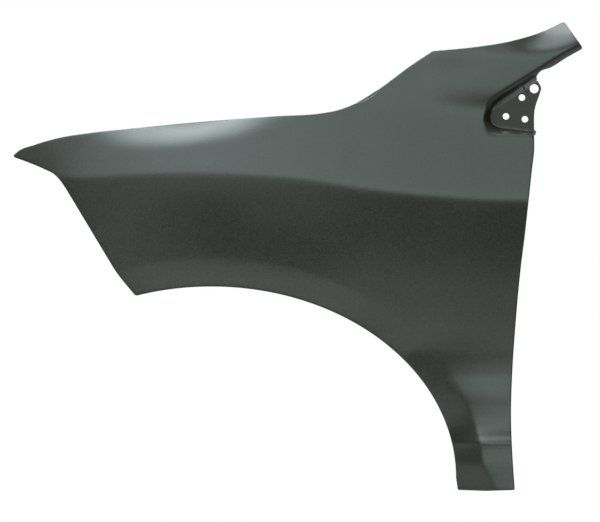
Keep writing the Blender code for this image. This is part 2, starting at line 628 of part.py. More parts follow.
def strip_widths(points, strips):
    """Width of the bolting strip at each point, none where the strip's sides end."""
    whole = (strips > 0) & (np.roll(strips, 1) > 0)
    along = points[:, 0] + NOSE_REACH
    share = STRIP_NOSE_SHARE + (1.0 - STRIP_NOSE_SHARE) * ease(along, *STRIP_TAPER)
    return np.where(whole, HOOD_STRIP * share, 0.0)


def pressed_panel(bm):
    """The whole sheet's outer face; returns its flat pads as centre, outward normal and direction."""
    points, walls, strips, squares = trimmed_edge()
    normals = inward_normals(points)
    lean = edge_lean(points, normals)
    wall = np.maximum(walls, np.roll(walls, 1))
    strip = strip_widths(points, strips)
    low, rise, level, fall = STRIP_LIFT_SPAN
    lifted = ease(points[:, 0], low, rise) * (1.0 - ease(points[:, 0], level, fall))
    lift = math.pi / 2 - np.arctan(STRIP_LIFT / HOOD_STRIP) * lifted
    profiles = [fold_offsets(*sizes, FOLD_SEGMENTS) for sizes in zip(lean, squares, wall, strip, lift)]
    insets = np.where(wall > 0, [max(row[0] for row in profile) for profile in profiles], 0.0)
    loop = points + normals * insets[:, None]
    rim = formed_skin(bm, loop)
    depths = np.array([vert.co.y for vert in rim])
    rows = [rim]
    for step in range(1, FOLD_SEGMENTS + 4):
        if step < FOLD_SEGMENTS + 2:
            has_side = walls > 0
        else:
            has_side = (strip > 0) & (np.roll(strip, -1) > 0)
        offsets = [profile[min(step, len(profile) - 1)] for profile in profiles]
        rows.append(folded_row(bm, rows[-1], offsets, points, normals, insets, depths, has_side))
    bmesh.ops.recalc_face_normals(bm, faces=bm.faces)
    if min(bm.faces, key=lambda face: face.calc_center_median().y).normal.y > 0:
        bmesh.ops.reverse_faces(bm, faces=bm.faces)
    pads = []
    for bolt in BOLT_STATIONS:
        missed = np.abs(points[:, 0] - bolt + BOLT_PAD / 2) + (strip <= 0)
        pads.append(flat_pad(bm, rows[-2], rows[-1], int(np.argmin(missed))))
    sill_start = int(np.argmax(walls == SILL_TAB))
    pads.append(flat_pad(bm, rows[FOLD_SEGMENTS], rows[FOLD_SEGMENTS + 1], sill_start))
    return pads


def flat_pad(bm, near_row, far_row, start):
    """Centre, outward normal and direction of the flat side between two neighbours of two rows."""
    corners = [near_row[start], near_row[start + 1], far_row[start + 1], far_row[start]]
    centre = sum((corner.co for corner in corners), Vector()) / len(corners)
    return centre, bm.faces.get(corners).normal.copy(), (corners[1].co - corners[0].co).normalized()


def primer():
    """Black electro-coat primer with a satin gloss."""
    material = bpy.data.materials.new("black_primer")
    material.use_nodes = True
    shader = material.node_tree.nodes["Principled BSDF"]
    shader.inputs["Base Color"].default_value = PRIMER_COLOUR
    shader.inputs["Roughness"].default_value = PRIMER_ROUGHNESS
    shader.inputs["Metallic"].default_value = 0.0
    return material


def add_cutter(centre, direction, diameter, length, cutters):
    """A cylinder that pierces one hole."""
    turn = Vector((0, 0, 1)).rotation_difference(direction)
    bpy.ops.mesh.primitive_cylinder_add(vertices=HOLE_SIDES, radius=diameter / 2, depth=length)
    cutter = bpy.context.object
    cutter.location = centre
    cutter.rotation_mode = "QUATERNION"
    cutter.rotation_quaternion = turn
    cutter.name = f"hole_cutter_{len(cutters.objects)}"
    cutter.hide_render = True
    cutter.display_type = "WIRE"
    for collection in cutter.users_collection:
        collection.objects.unlink(cutter)
    cutters.objects.link(cutter)


def plate_holes():
    """Centres and diameters of the ear's hole and the three clip holes of the sunk plate."""
    holes = [(ear_centre(), EAR_HOLE)]
    holes += [(np.array([DOOR_X + dx, POCKET_FLOOR + dz]), CLIP_HOLE) for dx, dz in CLIP_CENTRES]
    centres = [Vector((x, float(skin_depth(x, z)), z)) for (x, z), _ in holes]
    return list(zip(centres, [diameter for _, diameter in holes]))


def build():
    """The fender, with its holes pierced and its zero moved to the reference bolt's seat."""
    for item in list(bpy.data.objects):
        bpy.data.objects.remove(item, do_unlink=True)
    fender = bpy.data.collections.new("car_fender")
    cutters = bpy.data.collections.new("cutters")
    bpy.context.scene.collection.children.link(fender)
    bpy.context.scene.collection.children.link(cutters)

    bm = bmesh.new()
    pads = pressed_panel(bm)
    centre, normal, along = pads[REFERENCE_BOLT]
    seat = centre - normal * SHEET_THICKNESS + along * SEAT_OFFSET
    bmesh.ops.translate(bm, verts=bm.verts, vec=-seat)
    mesh = bpy.data.meshes.new("fender_panel")
    bm.to_mesh(mesh)
    bm.free()
    mesh.materials.append(primer())
    mesh.shade_smooth()
    mesh.set_sharp_from_angle(angle=SHADE_ANGLE)
    panel = bpy.data.objects.new("fender_panel", mesh)
    fender.objects.link(panel)

    for centre, normal, _ in pads[:-1]:
        add_cutter(centre - seat, normal, BOLT_HOLE, CUTTER_REACH, cutters)
    add_cutter(pads[-1][0] - seat, pads[-1][1], SILL_HOLE, CUTTER_REACH, cutters)
    for centre, diameter in plate_holes():
        add_cutter(centre - seat, Vector((0, 1, 0)), diameter, CUTTER_REACH, cutters)

    sheet = panel.modifiers.new("sheet", "SOLIDIFY")
    sheet.thickness = SHEET_THICKNESS
    sheet.offset = -1.0
    sheet.use_even_offset = True
    holes = panel.modifiers.new("holes", "BOOLEAN")
    holes.operation = "DIFFERENCE"
    holes.operand_type = "COLLECTION"
    holes.collection = cutters
    holes.solver = "EXACT"


build()
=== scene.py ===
"""Looks of a car's left front fender: the pressed sheet drawn finely, its black primer and a studio.

The form is drawn as the part's source draws it, with X towards the car's rear, Y inboard and Z up, from the
wheel centre on the panel's outermost plane. The finished piece is then shifted to the frame's zero, the seat
on the hood flange. Sizes are in metres, and slopes are metres inboard for each metre up or along.
"""

import logging
import math
from dataclasses import dataclass, field
from enum import Enum

import bpy
import numpy as np
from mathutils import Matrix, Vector
from mathutils.geometry import delaunay_2d_cdt
from mathutils.kdtree import KDTree


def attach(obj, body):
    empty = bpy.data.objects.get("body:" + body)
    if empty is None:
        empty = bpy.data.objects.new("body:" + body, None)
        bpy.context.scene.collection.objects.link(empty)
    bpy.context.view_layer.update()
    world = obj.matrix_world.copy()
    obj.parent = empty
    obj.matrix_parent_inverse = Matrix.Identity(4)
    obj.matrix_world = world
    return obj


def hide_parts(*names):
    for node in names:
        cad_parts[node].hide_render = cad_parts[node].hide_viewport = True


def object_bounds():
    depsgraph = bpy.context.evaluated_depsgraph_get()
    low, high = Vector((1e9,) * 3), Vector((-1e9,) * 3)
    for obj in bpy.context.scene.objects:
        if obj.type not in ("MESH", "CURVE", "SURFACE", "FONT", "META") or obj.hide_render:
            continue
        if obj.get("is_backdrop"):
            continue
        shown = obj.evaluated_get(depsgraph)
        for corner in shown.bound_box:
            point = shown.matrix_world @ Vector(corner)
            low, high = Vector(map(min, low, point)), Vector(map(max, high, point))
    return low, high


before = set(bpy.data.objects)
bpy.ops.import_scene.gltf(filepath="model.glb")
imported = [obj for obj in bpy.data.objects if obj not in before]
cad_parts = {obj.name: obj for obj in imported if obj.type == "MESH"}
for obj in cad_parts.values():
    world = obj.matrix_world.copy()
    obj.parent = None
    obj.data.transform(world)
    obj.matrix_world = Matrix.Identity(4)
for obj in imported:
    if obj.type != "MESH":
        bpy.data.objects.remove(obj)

LOG = logging.getLogger("fender")

Knots = tuple[tuple[float, float], ...]


def values_at(knots: Knots, where: np.ndarray) -> np.ndarray:
    """Smooth curve through knots, level beyond both ends.

    Args:
        knots: Place and value pairs, in order.
        where: Places at which the curve is read.

    Returns:
        The curve's values.
    """
    places, values = np.array(knots).T
    slopes = np.gradient(values, places)
    left = np.clip(np.searchsorted(places, where) - 1, 0, len(places) - 2)
    span = places[left + 1] - places[left]
    t = np.clip((where - places[left]) / span, 0.0, 1.0)
    start = values[left] * (2 * t**3 - 3 * t**2 + 1) + slopes[left] * span * (t**3 - 2 * t**2 + t)
    end = values[left + 1] * (3 * t**2 - 2 * t**3) + slopes[left + 1] * span * (t**3 - t**2)
    return start + end


def ramp(distance: np.ndarray, softness: float) -> np.ndarray:
    """Nothing below zero and one for one above it, rounded over the softness."""
    return 0.5 * (distance + np.sqrt(distance**2 + softness**2))


def ease(value: np.ndarray, low: float = 0.0, high: float = 1.0) -> np.ndarray:
    """Zero up to low, one from high, with a smooth step between them."""
    t = np.clip((value - low) / (high - low), 0.0, 1.0)
    return t * t * (3 - 2 * t)


def spline_points(points: list, step: float) -> np.ndarray:
    """Points on a smooth curve.

    Args:
        points: Places that the curve passes through.
        step: Wanted distance between the new points.

    Returns:
        The new points, both ends among them.
    """
    points = np.array(points, float)
    along = np.concatenate([[0.0], np.cumsum(np.linalg.norm(np.diff(points, axis=0), axis=1))])
    places = np.linspace(0.0, along[-1], max(1, round(along[-1] / step)) + 1)
    if len(points) == 2:
        return points[0] + (points[1] - points[0]) * (places / along[-1])[:, None]
    columns = [values_at(np.column_stack([along, points[:, axis]]), places) for axis in (0, 1)]
    return np.column_stack(columns)


def grid_points(low: np.ndarray, high: np.ndarray, step: float) -> np.ndarray:
    """Points over a rectangle, at the corners of equal triangles.

    Args:
        low: Lowest corner.
        high: Highest corner.
        step: Side of the triangles.

    Returns:
        The points.
    """
    heights = np.arange(low[1], high[1], step * math.sqrt(3) / 2)
    places = np.arange(low[0], high[0], step)
    rows = [
        np.column_stack([places + step / 2 * (row % 2), np.full(len(places), height)])
        for row, height in enumerate(heights)
    ]
    return np.vstack(rows)


def inside(points: np.ndarray, loop: np.ndarray) -> np.ndarray:
    """Which points lie inside a closed line.

    Args:
        points: Points to test.
        loop: The line's corners in order.

    Returns:
        One truth value for each point.
    """
    within = np.zeros(len(points), bool)
    for (x0, z0), (x1, z1) in zip(loop, np.roll(loop, -1, axis=0)):
        crosses = (z0 > points[:, 1]) != (z1 > points[:, 1])
        if crosses.any():
            at = x0 + (points[:, 1] - z0) * (x1 - x0) / (z1 - z0 if z1 != z0 else 1.0)
            within ^= crosses & (points[:, 0] < at)
    return within


def far_from(points: np.ndarray, others: np.ndarray, gap: float) -> np.ndarray:
    """The points that keep clear of others.

    Args:
        points: Points to choose from.
        others: Points to keep clear of.
        gap: The least distance between the two.

    Returns:
        The points that are kept.
    """
    tree = KDTree(len(others))
    for index, (x, z) in enumerate(others):
        tree.insert((x, z, 0.0), index)
    tree.balance()
    return np.array([point for point in points if tree.find((*point, 0.0))[2] > gap]).reshape(-1, 2)


@dataclass(frozen=True)
class WheelArch:
    """The wheel arch: an ellipse about the wheel centre, with a flare band round it."""

    half_length: float = 0.4405
    height: float = 0.3445
    fold: float = 0.016
    flare_width: float = 0.050
    flare_softness: float = 0.004
    foot: float = 0.022
    foot_span: tuple[float, float] = (-0.03, 0.03)
    turn_rear: float = 0.42
    turn_top: float = -0.09
    rear_end: tuple[float, float] = (16.0, 40.0)
    top_start: tuple[float, float] = (46.0, 62.0)
    top_end: tuple[float, float] = (101.0, 118.0)

    def point(self, angle: float) -> np.ndarray:
        """Point of the arch at an angle from the rear, in radians."""
        return np.array([self.half_length * math.cos(angle), self.height * math.sin(angle)])

    def distance(self, x: np.ndarray, z: np.ndarray) -> tuple[np.ndarray, np.ndarray]:
        """Where places lie round the arch, which runs straight down below its centre.

        Args:
            x: Places along the panel.
            z: Heights.

        Returns:
            The distance outside the arch, and the angle round it in degrees.
        """
        up = np.maximum(z, 0.0)
        scaled = np.hypot(x / self.half_length, up / self.height)
        slope = np.hypot(x / self.half_length**2, up / self.height**2) / scaled
        angle = np.degrees(np.arctan2(up / self.height, x / self.half_length))
        return (scaled - 1.0) / slope, angle

    def rear_share(self, angle: np.ndarray) -> np.ndarray:
        """One round the arch's rear foot, fading out above it."""
        return 1.0 - ease(angle, *self.rear_end)

    def width_at(self, z: np.ndarray) -> np.ndarray:
        """Width of the flare band, which widens at the leg's foot."""
        return self.flare_width + self.foot * (1.0 - ease(z, *self.foot_span))

    def depth(self, x: np.ndarray, z: np.ndarray) -> np.ndarray:
        """Depth that the flare band adds.

        Args:
            x: Places along the panel.
            z: Heights.

        Returns:
            The band's depth at each place.
        """
        distance, angle = self.distance(x, z)
        top = ease(angle, *self.top_start) * (1.0 - ease(angle, *self.top_end))
        turn = self.turn_rear * self.rear_share(angle) + self.turn_top * top
        return turn * ramp(self.width_at(z) - distance, self.flare_softness)

    def row(self, offset: float, step: float) -> np.ndarray:
        """Points at an offset outside the arch, a step apart.

        Args:
            offset: Distance outside the arch.
            step: Wanted distance between the points.

        Returns:
            The points, from the rear foot to the end of the band.
        """
        last = self.top_end[1]
        count = max(2, round(math.radians(last) * self.half_length / step))
        angles = np.radians(np.linspace(0.0, last, count))
        normals = np.column_stack([np.cos(angles) / self.half_length, np.sin(angles) / self.height])
        normals /= np.linalg.norm(normals, axis=1)[:, None]
        return np.array([self.point(angle) for angle in angles]) + normals * offset


@dataclass(frozen=True)
class Leg:
    """The leg between the wheel and the door, which kicks out to the sill."""

    arch: WheelArch = WheelArch()
    drop: float = 0.0216
    width: float = 0.1026
    sag: float = 0.0018
    toe_step: float = 0.0032
    sill_tab: float = 0.024
    sill_hole: float = 0.010
    kick: Knots = ((-0.03, 0.0760), (0.0, 0.0680), (0.030, 0.0602), (0.056, 0.0535), (0.0655, 0.0518),
                   (0.0735, 0.0440), (0.084, 0.0370), (0.104, 0.0288), (0.125, 0.0226), (0.150, 0.0162),
                   (0.168, 0.0095), (0.185, 0.0036), (0.200, 0.0010), (0.235, 0.0))
    held: float = 0.3
    crown: float = 0.40
    crown_width: float = 0.050

    def depth(self, x: np.ndarray, z: np.ndarray) -> np.ndarray:
        """Depth of the crown beside the flare line, less the kick to the sill.

        The flare band holds part of the kick back.

        Args:
            x: Places along the panel.
            z: Heights.

        Returns:
            The depth that the leg adds.
        """
        distance, angle = self.arch.distance(x, z)
        width = self.arch.width_at(z)
        rear = self.arch.rear_share(angle)
        inside_line = ramp(width - distance, self.arch.flare_softness)
        crown = self.crown * rear * ramp(width + self.crown_width / 2 - distance, self.crown_width)
        held = self.held * rear * np.clip(inside_line / width, 0.0, 1.0)
        return crown - values_at(self.kick, z) * (1.0 - held)

    @property
    def rear_foot(self) -> np.ndarray:
        """Lower corner on the door's side."""
        return np.array([self.arch.half_length + self.toe_step + self.width, -self.drop])


@dataclass(frozen=True)
class Side:
    """The side: the character line, the shoulder leaning in above it and the side that tucks in below it."""

    crease_line: Knots = ((-0.2741, 0.5409), (-0.2075, 0.5420), (-0.1391, 0.5461), (-0.0707, 0.5486),
                          (-0.0365, 0.5490), (0.0337, 0.5468), (0.1021, 0.5434), (0.1597, 0.5384),
                          (0.2191, 0.5301), (0.2641, 0.5227), (0.3217, 0.5159), (0.3793, 0.5101),
                          (0.4297, 0.5063), (0.4837, 0.5022), (0.5701, 0.4999))
    crease_softness: float = 0.005
    shoulder_lean: float = 0.38
    plan_line: Knots = ((-0.356, 0.185), (-0.274, 0.132), (-0.15, 0.078), (0.0, 0.040), (0.15, 0.024),
                        (0.30, 0.020), (0.45, 0.029), (0.57, 0.041), (0.67, 0.052))
    tuck_front: Knots = ((0.0, 0.0), (0.015, -0.0002), (0.03, 0.0001), (0.045, 0.0010), (0.06, 0.0025),
                         (0.08, 0.0049), (0.10, 0.0075), (0.12, 0.0098), (0.14, 0.0117), (0.17, 0.0135),
                         (0.20, 0.0140), (0.30, 0.0140))
    tuck_middle: Knots = ((0.0, 0.0), (0.03, 0.0009), (0.06, 0.0024), (0.08, 0.0038), (0.10, 0.0057),
                          (0.12, 0.0080), (0.14, 0.0103), (0.17, 0.0127), (0.20, 0.0133), (0.30, 0.0133))
    tuck_rear: Knots = ((0.0, 0.0), (0.04, 0.0044), (0.08, 0.0088), (0.10, 0.0107), (0.12, 0.0121),
                        (0.15, 0.0131), (0.18, 0.0131), (0.22, 0.0123), (0.25, 0.0108), (0.28, 0.0090),
                        (0.50, 0.0090))
    front_end: tuple[float, float] = (-0.03, 0.10)
    rear_start: tuple[float, float] = (0.15, 0.30)
    nose_fade: tuple[float, float] = (-0.19, 0.02)
    door_gain: float = 0.5
    door_span: tuple[float, float] = (0.44, 0.58)

    def depth(self, x: np.ndarray, z: np.ndarray) -> np.ndarray:
        """Depth of the side at places.

        Args:
            x: Places along the panel.
            z: Heights.

        Returns:
            The side's depth at each place.
        """
        crease = values_at(self.crease_line, x)
        above = ramp(z - crease, self.crease_softness)
        below = ramp(crease - z, self.crease_softness)
        front = 1.0 - ease(x, *self.front_end)
        rear = ease(x, *self.rear_start)
        tuck = values_at(self.tuck_front, below) * front + values_at(self.tuck_rear, below) * rear
        tuck = tuck + values_at(self.tuck_middle, below) * (1.0 - front - rear)
        tuck = tuck * ease(x, *self.nose_fade) * (1.0 + self.door_gain * ease(x, *self.door_span))
        return values_at(self.plan_line, x) + self.shoulder_lean * above + tuck


@dataclass(frozen=True)
class TopEdge:
    """The nose, the hood line with its roll and flange, and the pillar extension's top edge."""

    nose: tuple[float, float] = (-0.356, 0.5810)
    nose_blunt: tuple[float, float] = (0.0014, -0.0038)
    hood_line: Knots = ((-0.3479, 0.5880), (-0.3191, 0.5994), (-0.2777, 0.6115), (-0.2183, 0.6212),
                        (-0.1463, 0.6288), (-0.0203, 0.6410), (0.0553, 0.6469), (0.1165, 0.6514),
                        (0.1957, 0.6564), (0.2281, 0.6624), (0.2569, 0.6733), (0.3001, 0.6991),
                        (0.3577, 0.7416))
    cowl_corner: tuple[float, float] = (0.3985, 0.7686)
    extension_top: Knots = ((0.4729, 0.7757), (0.5413, 0.7870), (0.5989, 0.8046))
    extension_end: tuple[float, float] = (0.6350, 0.8216)
    extension_beyond: tuple[float, float] = (0.6800, 0.8440)
    roll_width: float = 0.050
    roll_power: float = 2.3
    roll_along: Knots = ((-0.356, 0.0), (-0.30, 0.04), (-0.27, 0.08), (-0.20, 0.10), (-0.128, 0.48),
                         (-0.056, 0.83), (0.016, 0.60), (0.088, 0.20), (0.16, 0.02), (0.20, 0.0),
                         (0.30, 0.0), (0.50, 0.0), (0.56, 0.12), (0.60, 0.45), (0.64, 0.75))
    wall: float = 0.012
    strip: float = 0.024
    strip_nose_share: float = 0.25
    strip_taper: tuple[float, float] = (0.036, 0.090)
    strip_lift: float = 0.0065
    strip_lift_span: tuple[float, float, float, float] = (0.250, 0.272, 0.288, 0.312)
    bolt_hole: float = 0.009
    bolt_pad: float = 0.034
    bolt_stations: tuple[float, ...] = (-0.235, -0.050, 0.150, 0.335)

    def height(self, x: np.ndarray) -> np.ndarray:
        """Height of the top edge at places along the panel.

        Args:
            x: Places along the panel.

        Returns:
            The top edge's height at each place.
        """
        hood = values_at((self.nose, *self.hood_line, self.cowl_corner), x)
        beyond = (self.extension_end, self.extension_beyond)
        extension = values_at((self.cowl_corner, *self.extension_top, *beyond), x)
        return np.where(x < self.cowl_corner[0], hood, extension)

    def depth(self, x: np.ndarray, z: np.ndarray) -> np.ndarray:
        """Depth that the roll at the top edge adds."""
        share = np.maximum(self.roll_width - (self.height(x) - z), 0.0) / self.roll_width
        return values_at(self.roll_along, x) * self.roll_width * share**self.roll_power

    def points(self, places: np.ndarray) -> np.ndarray:
        """Points of the top edge at places along the panel."""
        return np.column_stack([places, self.height(places)])

    def hood_places(self, step: float) -> np.ndarray:
        """Places along the hood line, with one straight chord across each bolt pad.

        Args:
            step: Wanted distance between the places.

        Returns:
            The places in order.
        """
        start, end = self.nose[0], self.cowl_corner[0]
        places = np.linspace(start, end, round((end - start) / step))
        half = self.bolt_pad / 2
        for bolt in self.bolt_stations:
            places = places[np.abs(places - bolt) > half + step * 0.5]
            places = np.concatenate([places, [bolt - half, bolt + half]])
        return np.sort(places)

    def strip_width(self, x: np.ndarray) -> np.ndarray:
        """Width of the bolting strip, narrower at the nose."""
        share = ease(x - self.nose[0], *self.strip_taper)
        return self.strip * (self.strip_nose_share + (1.0 - self.strip_nose_share) * share)

    def strip_turn(self, x: np.ndarray) -> np.ndarray:
        """Angle of the bolting strip, level inboard but lifted a little near the cowl.

        Args:
            x: Places along the panel.

        Returns:
            The strip's angle at each place.
        """
        low, rise, level, fall = self.strip_lift_span
        lifted = ease(x, low, rise) * (1.0 - ease(x, level, fall))
        return math.pi / 2 - math.atan(self.strip_lift / self.strip) * lifted


@dataclass(frozen=True)
class PillarExtension:
    """The pillar extension above the door edge, with its soft crease and the valley below it."""

    underside_start: tuple[float, float] = (0.5107, 0.6822)
    underside_slope: float = 0.622
    edge_drop: Knots = ((0.5922, 0.0012), (0.6106, 0.0056), (0.6385, 0.0057), (0.6695, 0.0076))
    fold: float = 0.010
    crease: Knots = ((0.374, 0.7520), (0.412, 0.7580), (0.455, 0.7610), (0.523, 0.7645),
                     (0.583, 0.7686), (0.638, 0.7720))
    crease_bend: Knots = ((0.374, 0.10), (0.455, 0.15), (0.55, 0.25), (0.60, 0.38), (0.638, 0.45))
    crease_softness: float = 0.005
    crease_start: float = 0.030
    valley: Knots = ((0.250, 0.6760), (0.331, 0.6730), (0.394, 0.6700), (0.493, 0.6660), (0.60, 0.6600))
    valley_bend: Knots = ((0.25, 0.0), (0.331, -0.08), (0.394, -0.16), (0.45, -0.42), (0.493, -0.55),
                          (0.53, -0.60), (0.57, -0.60))
    valley_softness: float = 0.012
    valley_rise: float = 0.024
    recovery: Knots = ((0.331, 0.1), (0.394, 0.3), (0.45, 0.72), (0.50, 0.75))
    recovery_softness: float = 0.014

    @property
    def cosine(self) -> float:
        """Share of a height over the slanted underside that is square to it."""
        return 1.0 / math.hypot(1.0, self.underside_slope)

    def underside(self, x: np.ndarray) -> np.ndarray:
        """Height of the extension's lower edge."""
        return self.underside_start[1] + self.underside_slope * (x - self.underside_start[0])

    def depth(self, x: np.ndarray, z: np.ndarray) -> np.ndarray:
        """Depth that the valley and the crease add.

        Args:
            x: Places along the panel.
            z: Heights.

        Returns:
            The extension's depth at each place.
        """
        valley = values_at(self.valley, x)
        bend = values_at(self.valley_bend, x)
        dip = bend * ramp(z - valley, self.valley_softness)
        back = values_at(self.recovery, x) * ramp(z - valley - self.valley_rise, self.recovery_softness)
        dip -= bend * back
        crease = values_at(self.crease_bend, x) * ramp(z - values_at(self.crease, x), self.crease_softness)
        first = self.crease[0][0]
        return dip + crease * ease(x, first - self.crease_start, first)


@dataclass(frozen=True)
class SunkPlate:
    """The sunk plate under the pillar extension, with its groove, its ear and its holes."""

    extension: PillarExtension = PillarExtension()
    door_x: float = 0.5812
    floor: float = 0.6156
    floor_slope: float = -0.1137
    length: float = 0.0915
    corner: float = 0.020
    wall: float = 0.0095
    left_ease: float = 1.5
    sink: float = 0.0135
    centre: tuple[float, float] = (0.545, 0.690)
    end: tuple[float, float] = (0.010, 0.022)
    groove_width: float = 0.0055
    groove_depth: float = 0.0022
    notch_root: tuple[float, float] = (0.0030, 0.0063)
    notch_radius: float = 0.005
    ear_hole: float = 0.0162
    ear_up: float = 0.0850
    ear_edge: Knots = ((0.0132, 0.0015), (0.0081, -0.0148), (0.0031, -0.0287), (0.0008, -0.0387),
                       (0.0, -0.0490))
    ear_step: float = 0.0020
    joggle_start: tuple[float, float] = (-0.0167, -0.0055)
    joggle_slant: tuple[float, float] = (0.46, -0.89)
    joggle_width: float = 0.0038
    clip_hole: float = 0.0117
    clip_centres: Knots = ((-0.0221, 0.0691), (-0.0507, 0.0353), (-0.0167, 0.0301))

    @property
    def ear(self) -> np.ndarray:
        """Centre of the ear's hole."""
        return np.array([self.door_x, self.floor + self.ear_up])

    def inset(self, x: np.ndarray, z: np.ndarray) -> np.ndarray:
        """Distance inside the plate's rim, level past the corner radius.

        Args:
            x: Places along the panel.
            z: Heights.

        Returns:
            The distance at each place.
        """
        floor = z - self.floor - self.floor_slope * (x - self.door_x)
        roof = (self.extension.underside(x) - z) * self.extension.cosine
        left = (x - (self.door_x - self.length)) / self.left_ease
        gaps = [np.maximum(self.corner - gap, 0.0) for gap in (floor, roof, left)]
        return self.corner - np.sqrt(gaps[0] ** 2 + gaps[1] ** 2 + gaps[2] ** 2)

    def share(self, x: np.ndarray, z: np.ndarray) -> np.ndarray:
        """One on the plate and nothing on the skin, with the plate's wall between them."""
        return ease(self.inset(x, z), 0.0, self.wall) * (1.0 - ease(x - self.door_x, *self.end))

    def relief(self, x: np.ndarray, z: np.ndarray) -> np.ndarray:
        """Depth of the groove along the plate's upper side and of the step to the ear.

        Args:
            x: Places along the panel.
            z: Heights.

        Returns:
            The depth below the plate's own level.
        """
        from_roof = (self.extension.underside(x) - z) * self.extension.cosine - self.wall
        groove = self.groove_depth * (1.0 - ease(from_roof, 0.0, self.groove_width))
        start = self.ear + np.array([self.joggle_start[0], self.joggle_start[1]])
        beyond = -(x - start[0]) * self.joggle_slant[1] + (z - start[1]) * self.joggle_slant[0]
        return groove + self.ear_step * ease(beyond, 0.0, self.joggle_width)

    def holes(self) -> list[tuple[np.ndarray, float]]:
        """Centre and diameter of the ear's hole and the clip holes.

        Returns:
            One pair for each hole.
        """
        corner = np.array([self.door_x, self.floor])
        clips = [(corner + np.array(offset), self.clip_hole) for offset in self.clip_centres]
        return [(self.ear, self.ear_hole), *clips]


@dataclass(frozen=True)
class PressedForm:
    """The form of the whole skin, put together from its regions."""

    arch: WheelArch = WheelArch()
    leg: Leg = Leg()
    side: Side = Side()
    top: TopEdge = TopEdge()
    extension: PillarExtension = PillarExtension()
    plate: SunkPlate = SunkPlate()
    roll: float = 0.009
    roll_turn: float = 1.3

    def open_depth(self, x: np.ndarray, z: np.ndarray) -> np.ndarray:
        """Depth of the skin with no sunk plate."""
        flare = self.arch.depth(x, z) + self.leg.depth(x, z)
        return self.side.depth(x, z) + flare + self.top.depth(x, z) + self.extension.depth(x, z)

    def depth(self, x: np.ndarray, z: np.ndarray) -> np.ndarray:
        """Depth of the outer face.

        Args:
            x: Places along the panel.
            z: Heights.

        Returns:
            Metres inboard of the panel's outermost plane.
        """
        x = np.asarray(x, float)
        z = np.asarray(z, float)
        from_edge = (z - self.extension.underside(x)) * self.extension.cosine
        rolled = np.clip(1.0 - from_edge / self.roll, 0.0, 2.0)
        low = self.plate.floor
        left = self.plate.door_x - self.plate.length
        right = self.extension.underside_start[0] + self.plate.corner
        near = ease(x, left, right) * ease(z, low, low + self.plate.corner)
        skin = self.open_depth(x, z) + self.roll_turn * self.roll * rolled**2 / 2 * near
        centre = np.array([self.plate.centre[0]]), np.array([self.plate.centre[1]])
        datum = self.side.depth(*centre) + self.top.depth(*centre) + self.extension.depth(*centre)
        sunk = self.plate.share(x, z)
        return skin * (1.0 - sunk) + (float(datum[0]) + self.plate.sink + self.plate.relief(x, z)) * sunk


@dataclass
class Stretch:
    """One stretch of the trimmed edge: its points, the corner at its end and its folded return."""

    points: np.ndarray
    corner: float
    wall: float
    strip: bool = False


